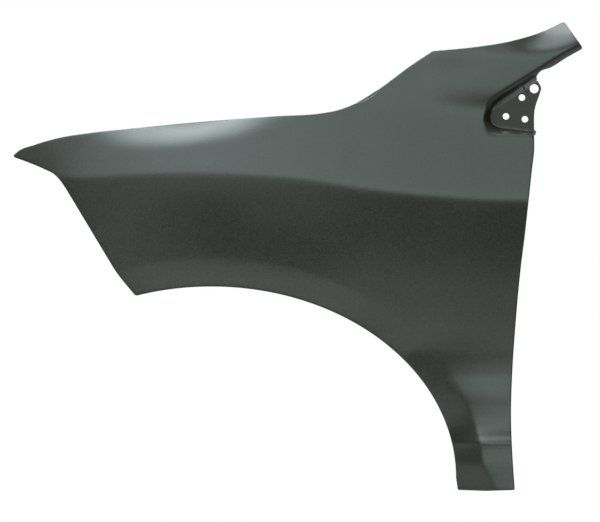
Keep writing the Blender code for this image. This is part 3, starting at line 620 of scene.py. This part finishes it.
@dataclass(frozen=True)
class TrimmedEdge:
    """The edge round the panel and the returns folded along it."""

    form: PressedForm = PressedForm()
    step: float = 0.0045
    fine_step: float = 0.0016
    sill_step: float = 0.0135
    corner_points: int = 5
    arch_points: int = 120
    cut_clearance: float = 1.3
    front_corner_x: float = -0.1364
    bumper_bend: tuple[float, float] = (-0.1697, 0.3672)
    lamp_edge: Knots = ((-0.2561, 0.5112), (-0.2651, 0.5256), (-0.2759, 0.5400), (-0.2849, 0.5481),
                        (-0.2975, 0.5544), (-0.3317, 0.5688))
    front_fold: float = 0.014
    door_top: float = 0.6160
    door_lug: Knots = ((0.0, 0.0110), (0.0034, 0.0080), (0.0027, 0.0035), (0.0, 0.0))
    door_edge: Knots = ((0.0, 0.5900), (-0.0040, 0.5544), (-0.0102, 0.4968), (-0.0165, 0.4392),
                        (-0.0237, 0.3816), (-0.0336, 0.2754), (-0.0399, 0.1800), (-0.0417, 0.1170),
                        (-0.0381, 0.0234))
    door_fold: float = 0.012
    extension_end_corner: float = 0.005
    extension_foot_corner: float = 0.006
    ear_foot_corner: float = 0.004
    sill_corner: float = 0.003
    arch_front_corner: float = 0.004
    bumper_corner: float = 0.020

    def rear_stretches(self) -> list[Stretch]:
        """The edge from the cowl corner round the extension and the ear, and down the door to the sill.

        Returns:
            The stretches in order.
        """
        form, plate = self.form, self.form.plate
        top, extension = form.top, form.extension
        root_x = plate.door_x + plate.notch_root[0]
        notch = (root_x, float(extension.underside(root_x)) - plate.notch_root[1])
        under = [notch] + [(x, float(extension.underside(x)) - drop) for x, drop in extension.edge_drop]
        ear_edge = [plate.ear + np.array(offset) for offset in plate.ear_edge]
        door_top = np.array([plate.door_x, self.door_top])
        lug = [door_top + np.array(offset) for offset in self.door_lug]
        door_line = [np.array([plate.door_x + dx, z]) for dx, z in self.door_edge]
        door = [door_top, *door_line, form.leg.rear_foot]
        end_line = [top.extension_end, under[-1]]
        length = top.extension_end[0] - top.cowl_corner[0]
        places = np.linspace(top.cowl_corner[0], top.extension_end[0], round(length / self.step))
        return [
            Stretch(top.points(places), self.extension_end_corner, extension.fold),
            Stretch(spline_points(end_line, self.step), self.extension_foot_corner, extension.fold),
            Stretch(spline_points(under[::-1], self.step), plate.notch_radius, extension.fold),
            Stretch(spline_points([under[0], ear_edge[0]], self.fine_step), self.ear_foot_corner, 0.0),
            Stretch(spline_points([*ear_edge, lug[0]], self.fine_step), 0.0, 0.0),
            Stretch(spline_points(lug, self.fine_step), 0.0, 0.0),
            Stretch(spline_points(door, self.step), self.sill_corner, self.door_fold),
        ]

    def front_stretches(self) -> list[Stretch]:
        """The edge from the sill round the wheel arch, and up the bumper and lamp edges to the nose.

        Returns:
            The stretches in order.
        """
        form = self.form
        rear_foot = form.leg.rear_foot
        toe = rear_foot - np.array([form.leg.width, 0.0])
        middle = (rear_foot + toe) / 2 - np.array([0.0, form.leg.sag])
        last = math.acos(self.front_corner_x / form.arch.half_length)
        arch = [form.arch.point(angle) for angle in np.linspace(0.0, last, self.arch_points)]
        nose = np.array(form.top.nose)
        chin = nose + np.array(form.top.nose_blunt)
        bumper_line = [arch[-1], self.bumper_bend]
        return [
            Stretch(spline_points([rear_foot, middle], self.sill_step), 0.0, form.leg.sill_tab),
            Stretch(spline_points([middle, toe], self.sill_step), self.sill_corner, form.leg.sill_tab),
            Stretch(spline_points([toe, arch[0]], self.step), 0.0, form.arch.fold),
            Stretch(spline_points(arch, self.step), self.arch_front_corner, form.arch.fold),
            Stretch(spline_points(bumper_line, self.step), self.bumper_corner, self.front_fold),
            Stretch(spline_points([self.bumper_bend, self.lamp_edge[0]], self.step), 0.0, self.front_fold),
            Stretch(spline_points([*self.lamp_edge, chin], self.step), 0.0, self.front_fold),
            Stretch(spline_points([chin, nose], self.step), 0.0, self.front_fold),
        ]

    def cut_short(self, points: np.ndarray, length: float) -> np.ndarray:
        """The points without their last stretch of a length, ending on the line there.

        Args:
            points: A line that ends at a corner.
            length: How much of it is cut off.

        Returns:
            The shortened line.
        """
        corner = points[-1]
        far = np.linalg.norm(points - corner, axis=1)
        kept = points[far > length * self.cut_clearance]
        towards = kept[-1] - corner
        return np.vstack([kept, corner + towards * (length / np.linalg.norm(towards))])

    def trimmed(self) -> tuple[np.ndarray, np.ndarray, np.ndarray]:
        """The closed edge, clockwise from the nose in the side view.

        Returns:
            The edge's points, and for the side that starts at each the depth of its wall and whether it has
            a bolting strip.
        """
        top = self.form.top
        hood = Stretch(top.points(top.hood_places(self.step)), 0.0, top.wall, strip=True)
        stretches = [hood, *self.rear_stretches(), *self.front_stretches()]
        points, walls, strips = [], [], []
        for index, stretch in enumerate(stretches):
            following = stretches[(index + 1) % len(stretches)]
            line = stretch.points
            if stretches[index - 1].corner:
                line = self.cut_short(line[::-1], stretches[index - 1].corner)[::-1]
            if stretch.corner:
                line = self.cut_short(line, stretch.corner)
                end = self.cut_short(following.points[::-1], stretch.corner)[-1]
                t = np.linspace(0.0, 1.0, self.corner_points + 2)[:-1, None]
                bend = line[-1] * (1 - t) ** 2 + stretch.points[-1] * 2 * t * (1 - t) + end * t**2
                line = np.vstack([line[:-1], bend, end])
            points.append(line[:-1])
            walls += [stretch.wall] * (len(line) - 1)
            strips += [stretch.strip] * (len(line) - 1)
        return np.vstack(points), np.array(walls), np.array(strips)


@dataclass(frozen=True)
class FoldedReturn:
    """The rows that an edge is folded through: a rounded bend, a wall and on the hood side a strip."""

    radius: float = 0.0025
    segments: int = 6
    strip_radius: float = 0.0015
    strip_segments: int = 4
    wall_parts: int = 2
    strip_parts: int = 3
    lean_reach: float = 0.002
    angle: float = math.radians(92)
    mitre_limit: float = 3.0

    def normals(self, points: np.ndarray) -> np.ndarray:
        """Normals into the panel at the edge's points, lengthened so that an offset keeps sides parallel.

        Args:
            points: The closed edge.

        Returns:
            One normal for each point.
        """
        along = np.roll(points, -1, axis=0) - points
        along /= np.linalg.norm(along, axis=1)[:, None]
        sides = np.column_stack([along[:, 1], -along[:, 0]])
        pairs = sides + np.roll(sides, 1, axis=0)
        spread = np.maximum(1.0 + np.sum(sides * np.roll(sides, 1, axis=0), axis=1), 2.0 / self.mitre_limit)
        return pairs / spread[:, None]

    def lean(self, form: PressedForm, points: np.ndarray, normals: np.ndarray) -> np.ndarray:
        """How steeply the skin runs inboard as it reaches the edge, as an angle.

        Args:
            form: The skin's form.
            points: The closed edge.
            normals: Its normals into the panel.

        Returns:
            One angle for each point.
        """
        unit = normals / np.linalg.norm(normals, axis=1)[:, None]
        rise = form.depth(*points.T) - form.depth(*(points + unit * self.lean_reach).T)
        return np.arctan2(rise, self.lean_reach)

    def offsets(self, lean: float, wall: float, strip: float, turn: float, has_strip: bool) -> np.ndarray:
        """Where the rows lie in the edge's cross-section.

        Args:
            lean: Slope of the skin at the edge, as an angle.
            wall: Depth of the wall.
            strip: Width of the strip, nothing where there is none.
            turn: Angle of the strip.
            has_strip: Whether the side belongs to the hood edge, whose wall is square to the skin.

        Returns:
            One pair for each row: the distances outwards and inboard of the skin's own edge.
        """
        square = math.pi / 2 + lean if has_strip else self.angle
        bend = (square - lean) / self.segments
        chord = 2 * self.radius * math.sin(bend / 2)
        moves = [(lean + bend * (step + 0.5), chord) for step in range(self.segments)]
        moves += [(square, (wall - self.radius) / self.wall_parts)] * self.wall_parts
        if strip:
            bend = (turn - square) / self.strip_segments
            length = 2 * self.strip_radius * math.sin(abs(bend) / 2)
            moves += [(square + bend * (step + 0.5), length) for step in range(self.strip_segments)]
            moves += [(turn, strip / self.strip_parts)] * self.strip_parts
        rows = [(0.0, 0.0)]
        for angle, length in moves:
            rows.append((rows[-1][0] + length * math.cos(angle), rows[-1][1] + length * math.sin(angle)))
        return np.array(rows)


class Sum(Enum):
    """Sums that a material's Math nodes do."""

    PLUS = "ADD"
    MINUS = "SUBTRACT"
    TIMES = "MULTIPLY"


class Signal:
    """A socket of a material's nodes that takes part in Python arithmetic."""

    def __init__(self, sheet: "NodeSheet", socket: bpy.types.NodeSocket) -> None:
        """Keeps the socket and the node sheet that it is on."""
        self.sheet = sheet
        self.socket = socket

    def _math(self, operation: Sum, first: "Signal | float", second: "Signal | float") -> "Signal":
        """A Math node on two values, given as signals or numbers."""
        return self.sheet.node("ShaderNodeMath", {"operation": operation.value}, {0: first, 1: second})

    def __add__(self, other: "Signal | float") -> "Signal":
        """Sum."""
        return self._math(Sum.PLUS, self, other)

    def __radd__(self, other: float) -> "Signal":
        """Sum with a number on the left."""
        return self._math(Sum.PLUS, other, self)

    def __sub__(self, other: "Signal | float") -> "Signal":
        """Difference."""
        return self._math(Sum.MINUS, self, other)

    def __rsub__(self, other: float) -> "Signal":
        """Difference from a number on the left."""
        return self._math(Sum.MINUS, other, self)

    def __mul__(self, other: "Signal | float") -> "Signal":
        """Product."""
        return self._math(Sum.TIMES, self, other)

    def __rmul__(self, other: float) -> "Signal":
        """Product with a number on the left."""
        return self._math(Sum.TIMES, other, self)


class NodeSheet:
    """The node tree of a material or a world, and the one way in which nodes are added to it."""

    def __init__(self, owner: bpy.types.Material | bpy.types.World) -> None:
        """Empties the owner's nodes.

        Args:
            owner: The material or world.
        """
        owner.use_nodes = True
        self.tree = owner.node_tree
        self.tree.nodes.clear()

    def node(self, kind: str, settings: dict | None = None, inputs: dict | None = None,
             output: int | str | None = 0) -> Signal | None:
        """Adds a node.

        Args:
            kind: The node's type.
            settings: Its own settings, which are set first.
            inputs: Values or signals of its sockets, by name or number.
            output: The output that is handed back, or none for the last node.

        Returns:
            The chosen output.
        """
        made = self.tree.nodes.new(kind)
        for name, value in (settings or {}).items():
            setattr(made, name, value)
        for name, value in (inputs or {}).items():
            if isinstance(value, Signal):
                self.tree.links.new(value.socket, made.inputs[name])
            else:
                made.inputs[name].default_value = value
        return None if output is None else Signal(self, made.outputs[output])

    def noise(self, place: Signal, scale: float, detail: float) -> Signal:
        """Even noise over a place, with a scale in waves for each metre."""
        return self.node("ShaderNodeTexNoise", {}, {"Vector": place, "Scale": scale, "Detail": detail})

    def place(self) -> Signal:
        """Place on the object, in metres."""
        return self.node("ShaderNodeTexCoord", output="Object")


@dataclass(frozen=True)
class PrimerFinish:
    """Black electro-coat primer: satin, with a fine orange peel, faint clouds and fine grain."""

    name: str = "black_primer"
    colour: tuple[float, float, float] = (0.0075, 0.0058, 0.0030)
    cloud_colour: tuple[float, float, float] = (0.0315, 0.0300, 0.0240)
    roughness: float = 0.43
    roughness_spread: float = 0.05
    ior: float = 1.6
    gloss_tint: tuple[float, float, float] = (0.84, 1.0, 1.0)
    grain_scale: float = 420.0
    grain: float = 0.55
    grain_contrast: float = 4.0
    cloud_scale: float = 9.0
    cloud_detail: float = 4.0
    peel_scale: float = 260.0
    peel_depth: float = 0.00007
    fine_detail: float = 2.0

    def build(self) -> bpy.types.Material:
        """Makes the material.

        Returns:
            The new material.
        """
        material = bpy.data.materials.new(self.name)
        sheet = NodeSheet(material)
        place = sheet.place()
        clouds = sheet.noise(place, self.cloud_scale, self.cloud_detail)
        grain = sheet.noise(place, self.grain_scale, self.fine_detail)
        peel = sheet.noise(place, self.peel_scale, self.fine_detail)
        speckle = (grain - 0.5) * self.grain_contrast + 0.5
        mixed = clouds * (1.0 - self.grain) + speckle * self.grain
        colour = sheet.node("ShaderNodeMix", {"data_type": "RGBA"}, {
            "Factor": mixed,
            6: (*self.colour, 1.0),
            7: (*self.cloud_colour, 1.0),
        }, output=2)
        roughness = self.roughness + (mixed - 0.5) * (2.0 * self.roughness_spread)
        relief = {"Strength": 1.0, "Distance": self.peel_depth, "Height": peel}
        bump = sheet.node("ShaderNodeBump", {}, relief)
        shader = sheet.node("ShaderNodeBsdfPrincipled", {}, {
            "Base Color": colour,
            "Roughness": roughness,
            "IOR": self.ior,
            "Specular Tint": (*self.gloss_tint, 1.0),
            "Normal": bump,
        })
        sheet.node("ShaderNodeOutputMaterial", {}, {"Surface": shader}, output=None)
        return material


@dataclass
class FenderPanel:
    """The pressed panel itself, the one piece of the object."""

    edge: TrimmedEdge = field(default_factory=TrimmedEdge)
    fold: FoldedReturn = field(default_factory=FoldedReturn)
    finish: PrimerFinish = field(default_factory=PrimerFinish)
    thickness: float = 0.0008
    smooth_angle: float = math.radians(40)
    seat: tuple[float, float, float] = (0.16023561, 0.0941875, 0.64821655)
    fill_step: float = 0.0042
    fine_step: float = 0.0020
    guide_step: float = 0.0040
    crease_offsets: tuple[float, ...] = (0.0, -0.0035, 0.0035)
    flare_offsets: tuple[float, ...] = (0.0, -0.0030, 0.0030)
    edge_offsets: tuple[float, ...] = (0.0035, 0.0070, 0.0105)
    roll_reach: float = 1.3
    gap_share: float = 0.62
    sill_pad_sides: int = 3
    blank_tolerance: float = 1e-7
    hole_sides: int = 64
    cutter_reach: float = 0.012
    node: str = "fender_panel"

    def guide_rows(self) -> list[np.ndarray]:
        """Rows of points along the creases and the roll.

        Returns:
            One list of points for each row.
        """
        form = self.edge.form
        step = self.guide_step
        rows = []
        for line in (form.side.crease_line, form.extension.crease):
            places = np.arange(line[0][0] - step, line[-1][0], step)
            heights = values_at(line, places)
            rows += [np.column_stack([places, heights + offset]) for offset in self.crease_offsets]
        for offset in self.flare_offsets:
            rows.append(form.arch.row(form.arch.flare_width + offset, step))
        places = np.arange(form.top.nose[0], form.top.extension_end[0], step)
        for offset in self.edge_offsets:
            rows.append(np.column_stack([places, form.top.height(places) - offset]))
        return rows

    def skin_points(self, loop: np.ndarray) -> np.ndarray:
        """Points that the skin is built on.

        Args:
            loop: The skin's own edge.

        Returns:
            Points inside it, closer round the sunk plate and along the creases.
        """
        plate, form = self.edge.form.plate, self.edge.form
        low = (plate.door_x - plate.length - plate.wall, plate.floor - plate.corner)
        high = (form.extension.edge_drop[-1][0], form.top.extension_end[1])
        pocket = grid_points(np.array(low), np.array(high), self.fine_step)
        inset = plate.inset(*pocket.T)
        below = pocket[:, 1] - form.extension.underside(pocket[:, 0]) < form.roll * self.roll_reach
        rim = (inset > -form.roll) & (below | (inset > -self.fine_step))
        groups = [(pocket[rim], self.fine_step * self.gap_share)]
        groups += [(row, self.guide_step * self.gap_share) for row in self.guide_rows()]
        fill = grid_points(loop.min(axis=0), loop.max(axis=0), self.fill_step)
        groups.append((fill, self.fill_step * self.gap_share))
        kept = loop
        added = []
        for points, gap in groups:
            points = far_from(points[inside(points, loop)], kept, gap)
            added.append(points)
            kept = np.vstack([kept, points])
        return np.vstack(added)

    def blank(self, loop: np.ndarray) -> bpy.types.Object:
        """The skin without its folds, drawn to depth; its first points are the edge's, in order.

        Args:
            loop: The skin's own edge.

        Returns:
            The new object.
        """
        points = np.vstack([loop, self.skin_points(loop)])
        flat = [Vector((x, z)) for x, z in points]
        sides = [(index, (index + 1) % len(loop)) for index in range(len(loop))]
        places, _, triangles, _, _, _ = delaunay_2d_cdt(flat, sides, [], 1, self.blank_tolerance)
        spread = np.array([tuple(place) for place in places])
        depths = self.edge.form.depth(*spread.T)
        mesh = bpy.data.meshes.new(self.node)
        mesh.from_pydata(np.column_stack([spread[:, 0], depths, spread[:, 1]]), [], triangles)
        panel = bpy.data.objects.new("fender_skin", mesh)
        bpy.context.scene.collection.objects.link(panel)
        return panel

    @staticmethod
    def only(piece: bpy.types.Object) -> None:
        """Makes the piece the only one selected, and the active one.

        Args:
            piece: The piece to select.
        """
        bpy.ops.object.select_all(action="DESELECT")
        piece.select_set(True)
        bpy.context.view_layer.objects.active = piece

    @staticmethod
    def grow_row(panel: bpy.types.Object, row: list, places: np.ndarray, has_side: np.ndarray) -> list:
        """Extrudes one row of the folded edge from the last.

        Args:
            panel: The sheet.
            row: Numbers of the last row's points, none where a return has ended.
            places: Where the new row's points go.
            has_side: Whether the side that starts at each point is folded.

        Returns:
            The new row's point numbers.
        """
        mesh = panel.data
        old_count = len(mesh.vertices)
        following = row[1:] + row[:1]
        wanted = {frozenset(pair) for pair, has in zip(zip(row, following), has_side) if has}
        for vert in mesh.vertices:
            vert.select = False
        for edge in mesh.edges:
            edge.select = frozenset(edge.vertices) in wanted
        for face in mesh.polygons:
            face.select = False
        bpy.ops.object.mode_set(mode="EDIT")
        bpy.ops.mesh.extrude_edges_move()
        bpy.ops.object.mode_set(mode="OBJECT")
        mesh = panel.data
        ends = np.zeros(len(mesh.edges) * 2, int)
        mesh.edges.foreach_get("vertices", ends)
        ends = np.sort(ends.reshape(-1, 2), axis=1)
        risers = ends[(ends[:, 0] < old_count) & (ends[:, 1] >= old_count)]
        grown = dict(risers.tolist())
        new_row = [grown.get(vert) for vert in row]
        for vert, place in zip(new_row, places):
            if vert is not None:
                mesh.vertices[vert].co = place
        return new_row

    def folded(self) -> tuple[bpy.types.Object, list[tuple[Vector, Vector, float]]]:
        """The whole sheet's outer face, and the holes of its strips.

        Returns:
            The sheet, and each strip hole's centre, direction and diameter.
        """
        form = self.edge.form
        points, walls, strips = self.edge.trimmed()
        normals = self.fold.normals(points)
        lean = self.fold.lean(form, points, normals)
        wall = np.maximum(walls, np.roll(walls, 1))
        whole = strips & np.roll(strips, 1)
        width = np.where(whole, form.top.strip_width(points[:, 0]), 0.0)
        turn = form.top.strip_turn(points[:, 0])
        profiles = [self.fold.offsets(*sizes) for sizes in zip(lean, wall, width, turn, strips)]
        insets = np.where(wall > 0, [profile[:, 0].max() for profile in profiles], 0.0)
        loop = points + normals * insets[:, None]
        panel = self.blank(loop)
        self.only(panel)
        bpy.context.tool_settings.mesh_select_mode = (False, True, False)
        depths = form.depth(*loop.T)
        row = list(range(len(loop)))
        rows = [row]
        wall_rows = self.fold.segments + self.fold.wall_parts
        strip_rows = self.fold.strip_segments + self.fold.strip_parts
        has_wall = walls > 0
        has_strip = whole & np.roll(whole, -1)
        for step in range(1, wall_rows + strip_rows + 1):
            out = np.array([profile[min(step, len(profile) - 1)] for profile in profiles])
            flat = points + normals * (insets - out[:, 0])[:, None]
            places = np.column_stack([flat[:, 0], depths + out[:, 1], flat[:, 1]])
            row = self.grow_row(panel, row, places, has_wall if step <= wall_rows else has_strip)
            rows.append(row)
        holes = []
        for bolt in form.top.bolt_stations:
            start = int(np.argmin(np.abs(points[:, 0] - bolt + form.top.bolt_pad / 2) + (width <= 0)))
            pad = self.pad(panel, rows[-1 - self.fold.strip_parts], rows[-1], start, start + 1)
            holes.append((*pad, form.top.bolt_hole))
        sill = np.flatnonzero(walls == form.leg.sill_tab)
        start = int(sill[0])
        middle = rows[self.fold.segments], rows[wall_rows]
        pad = self.pad(panel, *middle, start, start + self.sill_pad_sides)
        holes.append((*pad, form.leg.sill_hole))
        return panel, holes

    @staticmethod
    def pad(panel: bpy.types.Object, near: list, far: list, start: int, end: int) -> tuple[Vector, Vector]:
        """Centre and direction of a pad.

        Args:
            panel: The sheet.
            near: Point numbers of the pad's first row.
            far: Point numbers of its last row.
            start: Place of the pad's first point in the rows.
            end: Place of its last.

        Returns:
            The pad's centre and its normal.
        """
        corners = [panel.data.vertices[row[index]].co for row, index in
                   ((near, start), (near, end), (far, end), (far, start))]
        centre = sum(corners, Vector()) / 4
        return centre, (corners[1] - corners[0]).cross(corners[3] - corners[0]).normalized()

    def pierce(self, panel: bpy.types.Object, holes: list[tuple[Vector, Vector, float]]) -> None:
        """Cuts the round holes.

        Args:
            panel: The sheet, with its thickness.
            holes: Centre, direction and diameter of each hole.
        """
        cutters = []
        for centre, direction, diameter in holes:
            turn = Vector((0, 0, 1)).rotation_difference(direction).to_euler()
            bpy.ops.mesh.primitive_cylinder_add(vertices=self.hole_sides, radius=diameter / 2,
                                                depth=self.cutter_reach, location=centre, rotation=turn)
            cutters.append(bpy.context.object)
        self.only(cutters[0])
        for cutter in cutters:
            cutter.select_set(True)
        bpy.ops.object.join()
        cutter = bpy.context.object
        self.only(panel)
        cut = panel.modifiers.new("holes", "BOOLEAN")
        cut.operation = "DIFFERENCE"
        cut.object = cutter
        cut.solver = "EXACT"
        bpy.ops.object.modifier_apply(modifier=cut.name)
        bpy.data.objects.remove(cutter, do_unlink=True)

    def build(self) -> bpy.types.Object:
        """Makes the finished piece.

        Returns:
            The panel, with its thickness, holes, smooth shading and place.
        """
        panel, holes = self.folded()
        holes += [(Vector((x, float(self.edge.form.depth(x, z)), z)), Vector((0, 1, 0)), diameter)
                  for (x, z), diameter in self.edge.form.plate.holes()]
        bpy.ops.object.mode_set(mode="EDIT")
        bpy.ops.mesh.select_all(action="SELECT")
        bpy.ops.mesh.normals_make_consistent(inside=False)
        bpy.ops.object.mode_set(mode="OBJECT")
        if min(panel.data.polygons, key=lambda face: face.center.y).normal.y > 0:
            panel.data.flip_normals()
        sheet = panel.modifiers.new("sheet", "SOLIDIFY")
        sheet.thickness = self.thickness
        sheet.offset = -1.0
        sheet.use_even_offset = False
        bpy.ops.object.modifier_apply(modifier=sheet.name)
        self.pierce(panel, holes)
        bpy.ops.object.shade_smooth_by_angle(angle=self.smooth_angle)
        shift = np.zeros(len(panel.data.vertices) * 3)
        panel.data.vertices.foreach_get("co", shift)
        panel.data.vertices.foreach_set("co", (shift.reshape(-1, 3) - self.seat).ravel())
        panel.data.update()
        return panel

    def dress(self, panel: bpy.types.Object) -> None:
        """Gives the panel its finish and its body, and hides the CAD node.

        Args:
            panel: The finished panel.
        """
        panel.data.materials.clear()
        panel.data.materials.append(self.finish.build())
        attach(panel, "root")
        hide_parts(self.node)
        LOG.info("%s: %d points, %d faces", panel.name, len(panel.data.vertices), len(panel.data.polygons))


@dataclass(frozen=True)
class SoftLamp:
    """One soft studio lamp, placed round the object and aimed at it.

    Its angles and its spread, wide and high, are in degrees as seen from the object.
    """

    name: str
    azimuth: float
    elevation: float
    distance: float
    spread: tuple[float, float]
    radiance: float
    tint: tuple[float, float, float]

    def build(self, aim: Vector) -> None:
        """Hangs the lamp.

        Args:
            aim: The point that it is aimed at.
        """
        data = bpy.data.lights.new(self.name, "AREA")
        data.shape = "RECTANGLE"
        width, height = (2 * self.distance * math.tan(math.radians(angle) / 2) for angle in self.spread)
        data.size, data.size_y = width, height
        data.energy = self.radiance * math.pi * width * height
        data.color = self.tint
        lamp = bpy.data.objects.new(self.name, data)
        turn, rise = math.radians(self.azimuth), math.radians(self.elevation)
        towards = Vector((math.sin(turn) * math.cos(rise), -math.cos(turn) * math.cos(rise), math.sin(rise)))
        lamp.location = aim + towards * self.distance
        lamp.rotation_euler = (-towards).to_track_quat("-Z", "Y").to_euler()
        bpy.context.scene.collection.objects.link(lamp)


@dataclass(frozen=True)
class Studio:
    """A plain pale floor, soft lamps and a camera square to the panel's side, on white."""

    lamps: tuple[SoftLamp, ...] = (
        SoftLamp("overhead", -105.0, 68.0, 8.0, (40.0, 22.0), 7.2, (0.97, 1.0, 1.0)),
        SoftLamp("rear_high", -166.0, 58.0, 8.0, (36.0, 16.0), 8.0, (0.93, 1.0, 1.0)),
        SoftLamp("zenith", -10.0, 85.0, 8.0, (24.0, 20.0), 6.2, (0.97, 1.0, 1.0)),
        SoftLamp("left_high", -40.0, 56.0, 8.0, (22.0, 16.0), 4.5, (0.93, 1.0, 1.0)),
        SoftLamp("front_high", -10.0, 37.0, 8.0, (86.0, 18.0), 4.3, (0.93, 1.0, 0.98)),
        SoftLamp("front_low", -6.0, 10.0, 8.0, (90.0, 18.0), 1.7, (1.0, 1.0, 0.96)),
    )
    world: float = 0.02
    floor_gap: float = 0.08
    floor_size: float = 6.0
    floor_front: float = 0.6
    floor_colour: tuple[float, float, float] = (0.58, 0.58, 0.58)
    paper_roughness: float = 0.85
    paper_spread: float = 0.1
    tooth_scale: float = 300.0
    tooth_detail: float = 2.0
    metres_per_pixel: float = 0.0018
    camera_distance: float = 4.0
    image: tuple[int, int] = (600, 522)
    wheel_pixel: tuple[float, float] = (211.3, 478.0)

    def paper(self, name: str) -> bpy.types.Material:
        """Pale matt paper with a faint tooth.

        Args:
            name: The material's name.

        Returns:
            The new material.
        """
        material = bpy.data.materials.new(name)
        sheet = NodeSheet(material)
        tooth = sheet.noise(sheet.place(), self.tooth_scale, self.tooth_detail)
        lit = sheet.node("ShaderNodeBsdfPrincipled", {}, {
            "Base Color": (*self.floor_colour, 1.0),
            "Roughness": tooth * self.paper_spread + self.paper_roughness,
        })
        sheet.node("ShaderNodeOutputMaterial", {}, {"Surface": lit}, output=None)
        return material

    def build(self, low: Vector, high: Vector, seat: tuple[float, float, float]) -> None:
        """Sets up everything round the object.

        Args:
            low: The object's lowest corner.
            high: Its highest corner.
            seat: The frame's zero in the drawing of the form, which places the camera.
        """
        middle = (low + high) / 2
        back = self.floor_size / 2 - self.floor_front
        centre = (middle.x, low.y + back, low.z - self.floor_gap)
        bpy.ops.mesh.primitive_plane_add(size=self.floor_size, location=centre)
        floor = bpy.context.object
        floor.name = "studio_floor"
        bpy.ops.object.transform_apply(location=True)
        floor.data.materials.append(self.paper("studio_paper"))
        floor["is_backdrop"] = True
        for lamp in self.lamps:
            lamp.build(middle)
        self.light_world()
        self.aim_camera(seat)

    def light_world(self) -> None:
        """Faint light from all round, which shows as plain white to the camera alone."""
        world = bpy.data.worlds.new("studio")
        bpy.context.scene.world = world
        sheet = NodeSheet(world)
        colour = (1.0, 1.0, 1.0, 1.0)
        faint = sheet.node("ShaderNodeBackground", {}, {"Color": colour, "Strength": self.world})
        white = sheet.node("ShaderNodeBackground", {}, {"Color": colour, "Strength": 1.0})
        to_camera = sheet.node("ShaderNodeLightPath", output="Is Camera Ray")
        seen = sheet.node("ShaderNodeMixShader", {}, {0: to_camera, 1: faint, 2: white})
        sheet.node("ShaderNodeOutputWorld", {}, {"Surface": seen}, output=None)

    def aim_camera(self, seat: tuple[float, float, float]) -> None:
        """A camera without perspective, square to the side, that frames the panel as the photo does.

        Args:
            seat: The frame's zero in the drawing of the form.
        """
        width, height = self.image
        data = bpy.data.cameras.new("camera")
        data.type = "ORTHO"
        data.ortho_scale = width * self.metres_per_pixel
        camera = bpy.data.objects.new("camera", data)
        x = (width / 2 - self.wheel_pixel[0]) * self.metres_per_pixel - seat[0]
        z = (self.wheel_pixel[1] - height / 2) * self.metres_per_pixel - seat[2]
        camera.location = (x, -self.camera_distance, z)
        camera.rotation_euler = (math.pi / 2, 0.0, 0.0)
        bpy.context.scene.collection.objects.link(camera)
        bpy.context.scene.camera = camera


def main() -> None:
    """Builds the panel and the studio."""
    logging.basicConfig(level=logging.INFO, format="%(message)s")
    bpy.context.scene.view_settings.view_transform = "Standard"
    cad_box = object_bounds()
    fender = FenderPanel()
    panel = fender.build()
    fender.dress(panel)
    Studio().build(Vector(cad_box[0]), Vector(cad_box[1]), fender.seat)


if __name__ == "__main__":
    main()
